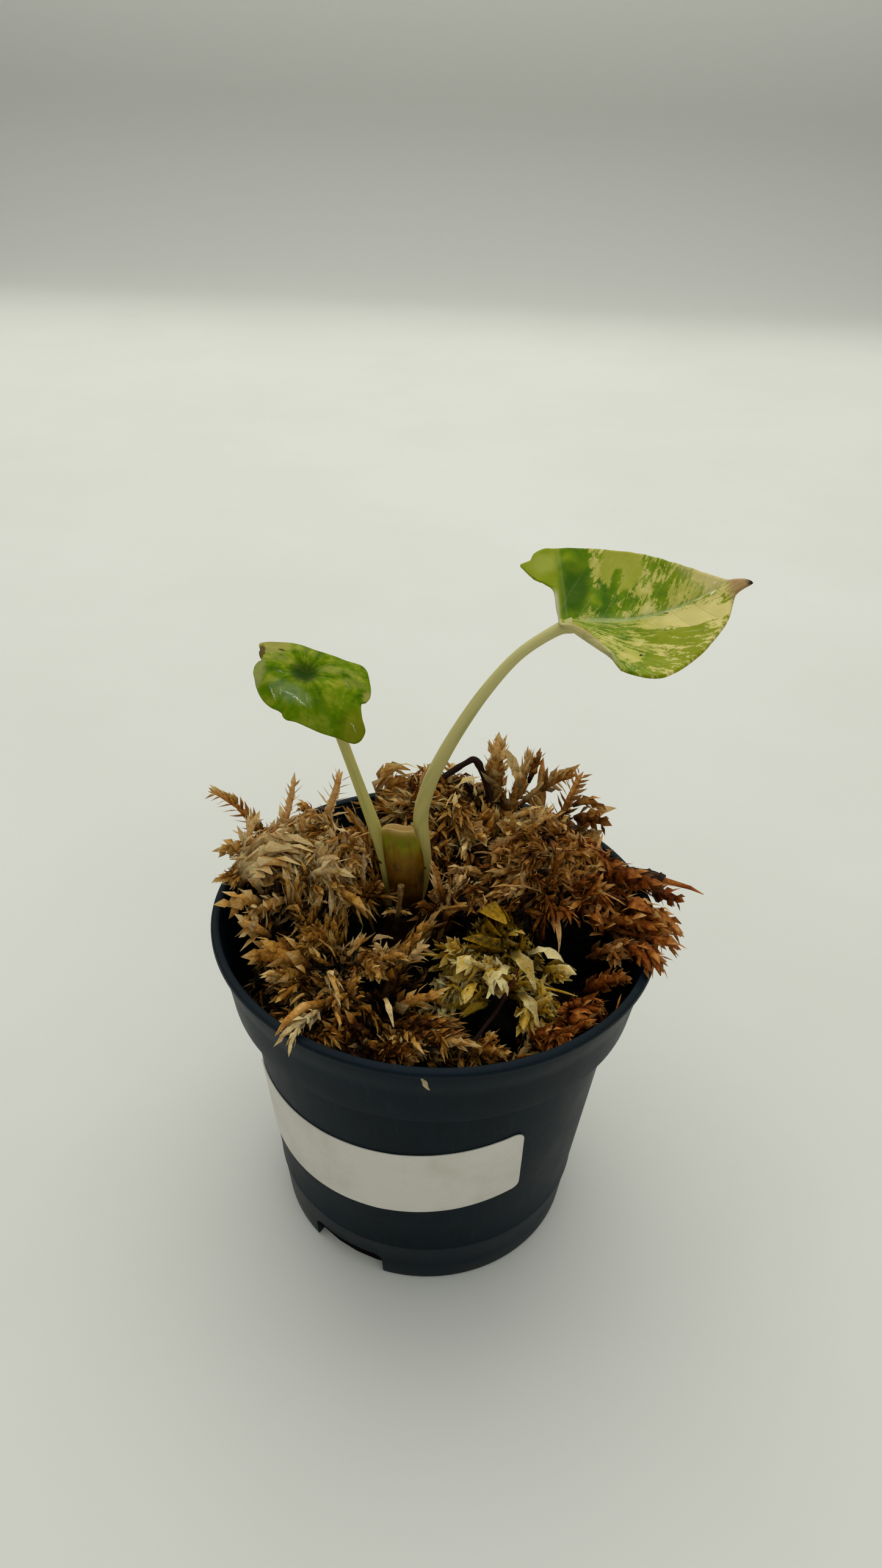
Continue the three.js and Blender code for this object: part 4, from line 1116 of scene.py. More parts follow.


# %% [markdown]
# ## Twigs and dry stalks in the moss
# Gathered moss brings bits of other plants with it. Each twig has swollen nodes and flaking bark, its
# ends are broken off square, and painted shade makes it near black where it goes down into the moss.

# %% Bark and dry straw
def dry_bark(name, dark, light):
    r = start_material(name)
    x, y, _ = r.separate(r.uv())
    flakes = r.noise(r.ring(x, r.times(y, 1.6)), 2.6, 5, 0.7)
    base = r.mix(r.smooth(flakes, 0.46, 0.74), dark, light)
    rings = r.noise(r.combine(0.0, 0.0, r.times(y, 40.0)), 1.0, 2)
    base = r.tint(base, dark, r.smooth(rings, 0.6, 0.8), 0.4)
    # painted shade: near black below the moss's surface
    foot = r.smooth(r.separate(r.place())[2], 58.8, 57.2)
    base = r.tint(base, "060301", foot, 0.88)
    normal = r.bump(flakes, 0.12, 0.8)
    return r.material(base, 0.78, normal, Specular_IOR_Level=0.15)


TWIGS = {  # points, radii, slot, and the dark and the light colour of the bark
    "twig_bent": ([(-1.6, 22.8, 66.5), (-0.8, 23, 68), (3.9, 23.5, 71.6), (5.7, 23.5, 72.4),
                   (7.2, 23, 69.8), (8.8, 22, 65), (9.6, 21, 61)],
                  [0.5, 0.55, 0.5, 0.62, 0.55, 0.62, 0.62], "dark_bark", ("24140e", "5a3826")),
    "twig_left": ([(-25, -0.4, 63.4), (-24.2, -2.4, 58), (-23.6, -3.4, 54.6)],
                  [0.5, 0.55, 0.5], "dark_bark", ("1c120e", "4a3022")),
    "stalk_red_front": ([(12.6, -10.5, 55), (12.1, -15, 59), (9.8, -19.6, 57), (7.4, -24.2, 57),
                         (4.4, -28.6, 55.8)],
                        [0.22, 0.3, 0.28, 0.28, 0.22], "dry_stalk", ("4a1c0c", "8a4a22")),
    "stalk_pale": ([(-6.2, -0.4, 55), (-5.9, -0.9, 58.6), (-5.5, -1.2, 64)],
                   [0.5, 0.45, 0.55], "dry_stalk", ("6a4c22", "a88c54")),
    "twig_cut": ([(29, 10.5, 59.8), (34, 8.6, 60.9), (36.9, 7.0, 60.9)],
                 [0.8, 0.9, 1.05], "dark_bark", ("2a1a12", "6a5238")),
}


def knotty(around, along):
    """Four swollen nodes along a twig, and uneven bark."""
    knots = 0.22 * max(math.cos(TURN * along * 3.5), 0) ** 8
    return 1 + knots + 0.1 * noise.noise(Vector((around * 4, along * 14, 2.0)))


for name, (points, radii, slot, (dark, light)) in TWIGS.items():
    twig = rolled_tube(points, radii, 12, 48, knotty)
    bark = dry_bark(name + "_bark", dark, light)
    finish_piece(twig, name + "_piece", bark, slot, [name], 60)

# %% [markdown]
# ## What stays hidden
# The imported moss and the rootstock in it are CAD pieces whose shapes are right. Only the top of the
# packed moss is seen between the clumps, painted near black for the shade there, and both get their own
# finish.

# %% Finish the imported moss and the rootstock
def packed_moss():
    r = start_material("packed_moss")
    p = r.place()
    fibres = r.noise(p, 0.9, 6, 0.75, 1.2)
    clumps = r.noise(p, 0.16, 3)
    # painted shade: the moss's own dark brown is taken down to near black, for the deep gaps between
    # the clumps
    base = r.ramp(fibres, [(0.35, "030201"), (0.55, "0b0603"), (0.75, "1c1008")])
    base = r.tint(base, "1e140a", r.smooth(clumps, 0.5, 0.7), 0.3)
    return r.material(base, 0.9, r.bump(fibres, 1.2, 1.0), Specular_IOR_Level=0.05)


def root_skin():
    r = start_material("root_skin")
    p = r.place()
    rings = r.noise(r.combine(0.0, 0.0, r.separate(p)[2]), 0.9, 4, 0.6)
    spots = r.noise(p, 0.7, 4, 0.6)
    base = r.mix(r.smooth(rings, 0.4, 0.65), "8a6a3c", "5a3f20")
    base = r.tint(base, "b89a68", r.smooth(spots, 0.5, 0.7), 0.5)
    # painted shade: dark brown to near black from 44 mm up, where the rootstock rises among the moss
    shaded_top = r.mix(spots, "0e0602", "3a220c")
    base = r.tint(base, shaded_top, r.smooth(r.separate(p)[2], 44.0, 52.0))
    return r.material(base, 0.75, r.bump(rings, 0.3, 0.7), Specular_IOR_Level=0.05)


for node, finish in {"moss_bed": packed_moss(), "rhizome": root_skin()}.items():
    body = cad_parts[node]
    body.data.materials.clear()
    body.data.materials.append(finish)
    print("finished", node)

# %% [markdown]
# ## Long-fibre moss
# Sphagnum is a tangle of soft stems, each set all round with tiny pointed leaves that overlap like
# tiles. Thousands of sprigs are needed, so each kind is modelled once, with a few dozen faces, along
# a straight unit stem. Copies are then bent along their own curves and gathered into one mesh for
# each clump. Every copy keeps a tone in its UV map, with the way from its root to its tip.

# %% Model one leaflet by hand, as a pinched square, and then the sprigs
def model_leaflet():
    """Half the width of a leaflet one unit long: a square that is turned on its corner and pinched."""
    leaflet = new_mesh("plane", size=1)
    with editing(leaflet):
        bpy.ops.transform.rotate(value=math.pi / 4, orient_axis="Z", center_override=(0, 0, 0))
        bpy.ops.transform.resize(value=(0.62, 1 / math.sqrt(2), 1))
        bpy.ops.transform.translate(value=(0, 0.5, 0))
    corners = sorted((tuple(v.co) for v in leaflet.data.vertices), key=lambda c: c[1])
    bpy.data.objects.remove(leaflet)
    foot, tip = corners[0], corners[3]
    half_width = max(corner[0] for corner in corners)
    print("leaflet half width", round(half_width, 2), "length", round(tip[1] - foot[1], 2))
    return half_width


LEAFLET_HALF_WIDTH = model_leaflet()
GOLDEN_ANGLE = math.radians(137.5)
SPINDLE = [(0.0, 0.5), (0.22, 0.92), (0.52, 1.0), (0.82, 0.75), (1.0, 0.12)]  # way along, and girth
BODY_SIDES = 5

# kind: girth of the fleshy stem, number of leaflets, how far out they stand in the middle and at the
# tip, their width in radii and length along the sprig, where the first and last sit, rows (0: a spiral)
SPRIG_KINDS = {
    "catkin": (0.6, 12, 0.95, 1.6, 1.6, 0.3, 0.0, 0.82, 0),
    "flame": (0.7, 8, 1.0, 1.3, 1.5, 0.34, 0.06, 0.8, 0),
    "star": (0.45, 11, 1.0, 2.1, 1.4, 0.32, 0.06, 0.8, 0),
    "comb": (0.5, 11, 1.0, 2.2, 1.5, 0.26, 0.04, 0.84, 2),
    "long_catkin": (0.68, 32, 0.95, 1.5, 1.6, 0.15, 0.0, 0.9, 0),
    "long_comb": (0.5, 28, 1.0, 2.3, 1.6, 0.16, 0.02, 0.9, 3),
    "thread": (1.0, 0, 0, 0, 0, 0, 0, 0, 0),
}


def add_body(points, faces, tones, dice, body):
    """A spindle that is a little uneven all round."""
    for y, girth in SPINDLE:
        for side in range(BODY_SIDES):
            a = TURN * side / BODY_SIDES
            out = body * girth * dice.uniform(0.76, 1.24)
            points.append((out * math.cos(a), y, out * math.sin(a)))
            tones.append(-0.08)
    for ring in range(len(SPINDLE) - 1):
        for side in range(BODY_SIDES):
            a, b = BODY_SIDES * ring + side, BODY_SIDES * ring + (side + 1) % BODY_SIDES
            faces.append((a, a + BODY_SIDES, b + BODY_SIDES, b))


def make_sprig(body, count, middle, end, width, length, first, last, rows):
    """Points, faces and tones of a sprig: x and z out from its stem, in radii, y from 0 to 1 along it.

    Each leaflet is folded along its keel: foot, right corner, keel, tip and left corner.
    """
    points, faces, tones = [], [], []
    dice = random.Random(count)
    add_body(points, faces, tones, dice, body)
    for k in range(count):
        y = first + (last - first) * k / (count - 1)
        angle = (k % rows) * TURN / rows + dice.uniform(-0.35, 0.35) if rows else k * GOLDEN_ANGLE
        out = Vector((math.cos(angle), 0, math.sin(angle)))
        around = Vector((-math.sin(angle), 0, math.cos(angle)))
        reach = dice.uniform(0.85, 1.15) * (1 - 0.5 * y * y)
        half = LEAFLET_HALF_WIDTH * width * reach
        ahead = Vector((0, length * dice.uniform(0.85, 1.15), 0))
        base = Vector((0, y, 0))
        curl = dice.uniform(-0.1, 0.25)
        start = len(points)
        middle_at = base + out * middle * reach + ahead * 0.4
        points += [base + out * 0.5 * body, middle_at + around * half, middle_at + out * 0.16 * reach,
                   base + out * (end + curl) * reach + ahead, middle_at - around * half]
        faces += [(start, start + 1, start + 3, start + 2), (start, start + 2, start + 3, start + 4)]
        own = dice.uniform(-0.06, 0.06)
        tones += [own - 0.2, own - 0.02, own + 0.02, own + 0.16, own - 0.02]
    return np.array([tuple(p) for p in points]), faces, np.array(tones)


def make_leaves(count, belly, width, length, rows, seed):
    """Broad thin leaves round a stem: cupped, waved along their edges, and drawn out to a point."""
    points, faces, tones = [], [], []
    dice = random.Random(seed)
    for k in range(count):
        angle = k * GOLDEN_ANGLE
        out = Vector((math.cos(angle), 0, math.sin(angle)))
        around = Vector((-math.sin(angle), 0, math.cos(angle)))
        foot = 0.5 * (1 - length) * k / max(count - 1, 1)
        start = len(points)
        for row in range(rows + 1):
            t = row / rows
            half = width * math.sin(math.pi * (0.1 + 0.87 * t)) ** 0.9 * dice.uniform(0.7, 1.3)
            stand = belly * math.sin(math.pi * 0.8 * t) + dice.uniform(-0.2, 0.2)
            for side in (-1, 0, 1):
                edge = side * side * half * (0.5 + dice.uniform(-0.6, 0.6))
                points.append(around * side * half + out * (stand - edge)
                              + Vector((0, foot + length * t, 0)))
                tones.append(0.1 * side * side + 0.12 * t - 0.12)
        for row in range(rows):
            for a in (start + 3 * row, start + 3 * row + 1):
                faces.append((a, a + 1, a + 4, a + 3))
    return np.array([tuple(p) for p in points]), faces, np.array(tones)


SPRIGS = {kind: make_sprig(*shape) for kind, shape in SPRIG_KINDS.items()}
SPRIGS["bud"] = make_leaves(count=5, belly=1.0, width=0.62, length=0.75, rows=4, seed=5)
SPRIGS["ribbon"] = make_leaves(count=1, belly=0.3, width=0.8, length=1.0, rows=7, seed=9)
print("faces of each sprig:", {kind: len(s[1]) for kind, s in SPRIGS.items()})


# %% Bend copies along curves and gather them
# How far out sprigs may reach inside the pot's wall: heights, and radii a little inside the wall's own
INSIDE_WALL = ([40, 47, 59], [28.6, 31.4, 33.1])
ON_RIM = POT["height"] + 0.25  # the height at which a sprig lies on the rim
RIM_FROM, RIM_TO = 32.0, POT["rim"] + 0.5
INSIDE_UV = (0.01, 0.99)  # the marks in the UV map stay a little inside its square


def unit(vectors):
    return vectors / np.maximum(np.linalg.norm(vectors, axis=-1, keepdims=True), 1e-9)


def keep_clear_of_pot(points, over_rim=False):
    """Moves points out of the pot's wall: inwards, or up over the rim where a sprig hangs over it."""
    out = np.maximum(np.hypot(points[:, 0], points[:, 1]), 1e-9)
    z = points[:, 2]
    inside_wall = np.interp(z, *INSIDE_WALL)
    in_wall = (z < ON_RIM) & (out > inside_wall)
    if over_rim:
        lifted = in_wall & (out > RIM_FROM) & (out < RIM_TO)
        points[:, 2] = np.where(lifted, ON_RIM, z)
        in_wall &= out <= RIM_FROM
    points[:, :2] *= np.where(in_wall, inside_wall / out, 1.0)[:, None]
    return points


class Thicket:
    """Gathers bent sprigs into one mesh. Its UV map holds the tone, and the way from root to tip."""

    def __init__(self):
        self.points, self.faces, self.marks, self.count = [], [], [], 0

    def add(self, points, faces, tone, along):
        self.faces += (np.asarray(faces) + self.count).tolist()
        self.points.append(points)
        tones = np.broadcast_to(tone, len(points))
        self.marks.append(np.clip(np.stack([tones, along], 1), *INSIDE_UV))
        self.count += len(points)

    def grow(self, kind, root, middle, tip, radius, spin, tone, over_rim=False, loose=False):
        """Bends a copy from root to tip by way of middle, and turns it round its stem by spin."""
        sprig, faces, leaf_tone = SPRIGS[kind]
        root, middle, tip = (np.array(p, float) for p in (root, middle, tip))
        t = sprig[:, 1:2]
        centre = (1 - t) ** 2 * root + 2 * t * (1 - t) * middle + t ** 2 * tip
        heading = unit(2 * (1 - t) * (middle - root) + 2 * t * (tip - middle))
        side = unit(np.cross(heading, (0.13, 0.21, 0.97)))
        lift = np.cross(side, heading)
        x = sprig[:, 0:1] * math.cos(spin) - sprig[:, 2:3] * math.sin(spin)
        z = sprig[:, 0:1] * math.sin(spin) + sprig[:, 2:3] * math.cos(spin)
        points = centre + (side * x + lift * z) * radius
        if not loose:
            points = keep_clear_of_pot(points, over_rim)
        self.add(points, faces, tone + leaf_tone, sprig[:, 1])

    def to_object(self, name):
        points, marks = np.concatenate(self.points) * MM, np.concatenate(self.marks)
        mesh = bpy.data.meshes.new(name)
        mesh.from_pydata(points.tolist(), [], self.faces)
        layer = mesh.uv_layers.new(name="strand")
        corners = np.empty(len(mesh.loops), dtype=np.int32)
        mesh.loops.foreach_get("vertex_index", corners)
        layer.data.foreach_set("uv", marks[corners].ravel())
        mesh.update()
        made = bpy.data.objects.new(name, mesh)
        bpy.context.collection.objects.link(made)
        return made


# %% [markdown]
# ## The moss clumps
# Each clump is a mound. The sprigs that catch the eye and the listed strands come first, then
# a tuft along each strand that the CAD model strews by its die, and then many short sprigs over the
# whole mound. Neighbouring sprigs lie the same way, as wefts of moss do, because a slow noise gives
# them their direction. A lumpy dome at the heart, near black as painted shade, keeps anybody from
# looking through.

# %% The same die and the same mounds as in the CAD model
BED_Z = 49.0  # the height that the mounds rise from
NEAR_LIP = POT["lip"] - 2.0


def cad_dice(seed):
    state = seed

    def roll(low, high):
        nonlocal state
        state = (state * 1664525 + 1013904223) % 4294967296
        return low + (high - low) * state / 4294967296

    return roll


def mound_top(core, x, y):
    """The height of a smooth mound over (x, y)."""
    cx, cy, rx, ry, top = core
    inside = 1 - ((x - cx) / (0.9 * rx)) ** 2 - ((y - cy) / (0.9 * ry)) ** 2
    return BED_Z + 0.85 * (top - BED_Z) * math.sqrt(max(inside, 0.02))


def strewn_strands(core, strewn, seed):
    """The root, tip, radius and bow of each strand that the CAD model strews over a mound."""
    roll = cad_dice(seed + 1000)
    cx, cy, rx, ry, _ = core
    for _ in range(strewn):
        a = roll(0, TURN)
        out = math.sqrt(roll(0.05, 0.95))
        x, y = cx + 0.8 * rx * out * math.cos(a), cy + 0.8 * ry * out * math.sin(a)
        z = mound_top(core, x, y) - 1.2
        lean = a + roll(-1.4, 1.4)
        reach, rise = roll(4, 8.5), roll(0.5, 4.5)
        tip = [x + reach * math.cos(lean), y + reach * math.sin(lean), z + rise]
        inside = NEAR_LIP / math.hypot(tip[0], tip[1])
        if inside < 1:
            tip[0], tip[1] = tip[0] * inside, tip[1] * inside
        yield (x, y, z), tuple(tip), roll(1.1, 1.6), roll(0.3, 1.6)


# %% Clumps: their mounds, their share of each kind of sprig, and the listed strands
# core: the mound's centre, its two radii and the height of its top; low_mounds: lower mounds beside
# it, each with its number of tufts; fairness: the middle tone of the cover, from dark (0) to pale (1);
# strewn and seed: as in the CAD model; tufts, kinds and rise: how many tufts cover the mound, their
# kinds of sprig and how far these stand up; strands: root, tip, radius, how high they bow, and kind
CLUMPS = {
    "moss_left_tan": dict(
        core=(-21, 7.5, 14, 15, 68), fairness=0.58, strewn=11, seed=11, tufts=66, slot="moss_tan",
        kinds=("star", "flame", "comb", "star", "catkin", "comb"), rise=0.5,
        strands=[
            ((-28, 12, 63.5), (-38, 14, 70), 1.0, 2.6, "long_comb"),
            ((-26.5, 13, 61), (-23.8, 14.5, 72.8), 1.1, -0.6, "long_comb"),
            ((-20, 12, 62), (-16, 14.5, 74.6), 1.35, 0.3, "long_comb"),
            ((-27, 7, 60), (-36, 9.5, 61), 1.5, 2.6, "long_catkin"),
            ((-24, 8, 63), (-31.5, 2.5, 64), 1.6, 1.5, "long_catkin"),
            ((-21, 2, 62), (-14.5, -3, 63.5), 1.5, 1.5, "long_catkin"),
            ((-23, -1, 60), (-29, -6.5, 60), 1.6, 1.2, "long_catkin"),
            ((-14.5, 8, 61.5), (-12.5, 2.5, 64), 1.4, 1, "long_catkin"),
            ((-21, 11, 61), (-26, 8, 66.5), 1.4, 1, "long_catkin"),
        ]),
    "moss_back_brown": dict(
        core=(1, 21, 17, 11.5, 70.5), strewn=10, seed=23, tufts=62, slot="moss_brown",
        kinds=("catkin", "flame", "star", "comb", "star"), rise=0.5,
        strands=[
            ((-7, 21, 60), (-9.0, 24.5, 68.6), 1.4, 1.5, "long_catkin"),
            ((-11, 17, 61), (-15.6, 16.5, 66.6), 1.1, 0.3, "flame"),
            ((1, 21, 63), (1.8, 25.5, 70.5), 1.4, 0.5, "long_comb"),
            ((9.5, 23.5, 63), (10, 25.5, 75.8), 1.5, 0, "long_catkin"),
            ((12, 22, 63), (15, 26, 73.5), 1.1, -0.5, "long_catkin"),
            ((4, 16, 62), (7.5, 11, 65.5), 1.5, 1, "long_catkin"),
            ((-3, 16, 61), (-4.5, 11, 64.5), 1.5, 1, "long_catkin"),
            ((14, 18, 62), (11, 12, 67), 1.3, 1, "long_comb"),
        ]),
    "moss_right_rust": dict(
        core=(20.5, 9.5, 15, 18, 69), low_mounds=[((4.5, 3.0, 5.5, 7, 64), 16)],
        strewn=12, seed=37, tufts=92, slot="moss_rust",
        kinds=("catkin", "flame", "star", "catkin", "comb"), rise=0.45,
        strands=[
            ((17, 19, 60), (17.3, 25, 72.5), 1.0, 0, "thread"),
            ((20, 20, 60), (24.5, 25.5, 69.8), 1.3, 1, "long_comb"),
            ((23, 19, 59), (29.3, 22.5, 64), 1.4, 2, "flame"),
            ((22, 15, 58.5), (28.5, 17.5, 62.8), 1.9, 1, "bud"),
            ((25, 12, 58), (37, 8.8, 58.4), 1.6, 1.4, "long_catkin"),
            ((30, 6.6, 59.8), (44, 7.6, 58), 0.55, 2.0, "thread"),
            ((26, 4, 57), (38.5, -3.4, 58), 1.6, 3.2, "long_catkin"),
            ((25, 0, 57), (37.3, -7.4, 58.6), 1.6, 3, "long_catkin"),
            ((24, -5, 56.5), (34.8, -11.4, 59.6), 1.2, 2.4, "long_catkin"),
            ((15, 6, 59), (11.5, 0, 61.5), 1.7, 1.5, "long_catkin"),
            ((21, 2, 57.5), (26, -4, 60), 1.5, 1.5, "star"),
            ((15, 12, 60), (9, 8, 64.5), 1.6, 1, "long_comb"),
        ]),
    "moss_front_yellow": dict(
        core=(10.5, -11, 11, 12, 58.5), fairness=0.78, strewn=7, seed=41, tufts=24, slot="moss_yellow",
        kinds=("bud", "flame", "star", "catkin"), rise=0.3,
        strands=[
            ((11, -3, 56), (13.5, -9.5, 60.5), 1.8, 1.5, "bud"),
            ((9, -12, 56.5), (8, -19, 59.5), 1.8, 1, "bud"),
            ((14, -17, 55.5), (13, -25, 57.8), 1.6, 1, "flame"),
            ((6, -7, 55), (1, -12, 58), 1.5, 1.5, "flame"),
            ((16, -10, 55.5), (22, -14, 57.5), 1.6, 1.5, "bud"),
        ]),
    "moss_front_left": dict(
        core=(-16, -12.5, 15, 13, 58.5), fairness=0.33, strewn=10, seed=53, tufts=54, slot="moss_tan",
        kinds=("star", "flame", "catkin", "star", "comb"), rise=0.25,
        strands=[
            ((-7.5, -8.5, 55), (0.5, -2, 58), 1.1, 1, "flame"),
            ((-16, -5, 56.5), (-20, -10.5, 60), 1.5, 1.5, "long_catkin"),
            ((-11, -9, 56.5), (-7.5, -16.5, 58.5), 1.5, 1.2, "long_catkin"),
            ((-18, -14, 56.5), (-24, -18.5, 59), 1.5, 1.2, "flame"),
            ((-14, -19, 57), (-20.8, -30.4, 60.4), 0.8, 3, "thread"),
            ((-12, -17, 56.5), (-14, -23, 58.8), 1.4, 1, "star"),
        ]),
    "moss_front_brown": dict(
        core=(1, -25.5, 15, 9, 55), fairness=0.72, strewn=7, seed=67, tufts=34, slot="moss_brown",
        kinds=("flame", "catkin", "comb", "star"), rise=0.12,
        strands=[
            ((-7, -19, 54.5), (4, -22.5, 57), 1.3, 0.8, "flame"),
            ((-3, -22, 54.5), (7, -27, 56), 1.3, 0.8, "flame"),
            ((-7, -24, 54), (-2, -30, 56), 1.4, 0.8, "long_catkin"),
            ((4, -25, 54), (11, -28, 56), 1.4, 0.8, "long_catkin"),
        ]),
    "moss_front_right": dict(
        core=(22, -17, 11.5, 11.5, 55), fairness=0.42, strewn=6, seed=79, tufts=28, slot="moss_rust",
        kinds=("flame", "catkin", "star", "comb"), rise=0.15,
        strands=[
            ((20, -16, 54), (25, -20, 57), 1.4, 1, "star"),
            ((23, -11, 54.5), (29.5, -13, 57.5), 1.4, 1.2, "long_catkin"),
            ((17, -21, 53.5), (20, -25.5, 56), 1.3, 0.8, "bud"),
        ]),
}
# Places that only listed sprigs may enter: centre and radii from above, and the heights they
# run between
OPEN_PLACES = [
    ((-5.4, 2.8), (4.2, 3.9), (59, 74)), ((-2.3, 4.4), (2.0, 2.0), (59, 78)),  # the plant's foot
    ((-9.5, 4.8), (2.2, 2.2), (0, 78)), ((-10.8, 5.0), (2.0, 2.0), (66, 84)),
    ((-6.5, -3.0), (7.0, 5.0), (0, 61)), ((25, -8), (8.5, 6.5), (0, 60)),  # hollows down to the bed
    ((8, -21), (6, 3.5), (0, 61)), ((-31, -7), (3.5, 10), (0, 61)), ((-0.5, -32.4), (13, 3.4), (0, 61)),
    ((21, -4), (5, 4), (0, 59.5)), ((-9, -14), (2.5, 2.5), (0, 57)), ((2, -4), (3.5, 3.5), (0, 58)),
    ((-24.7, -3.4), (2.0, 3.6), (58.8, 99)),  # before the dark twig
    ((-16.5, 23), (6.5, 9), (0, 99)), ((31, 19), (4.5, 8), (0, 99)),  # gaps along the wall
    ((27.5, 15.5), (6.0, 6.0), (58.5, 99)),
    ((7.0, 19.5), (3.4, 5.0), (66, 99)), ((2.6, 20), (2.6, 4.0), (68.5, 99)),  # round the bent twig
]

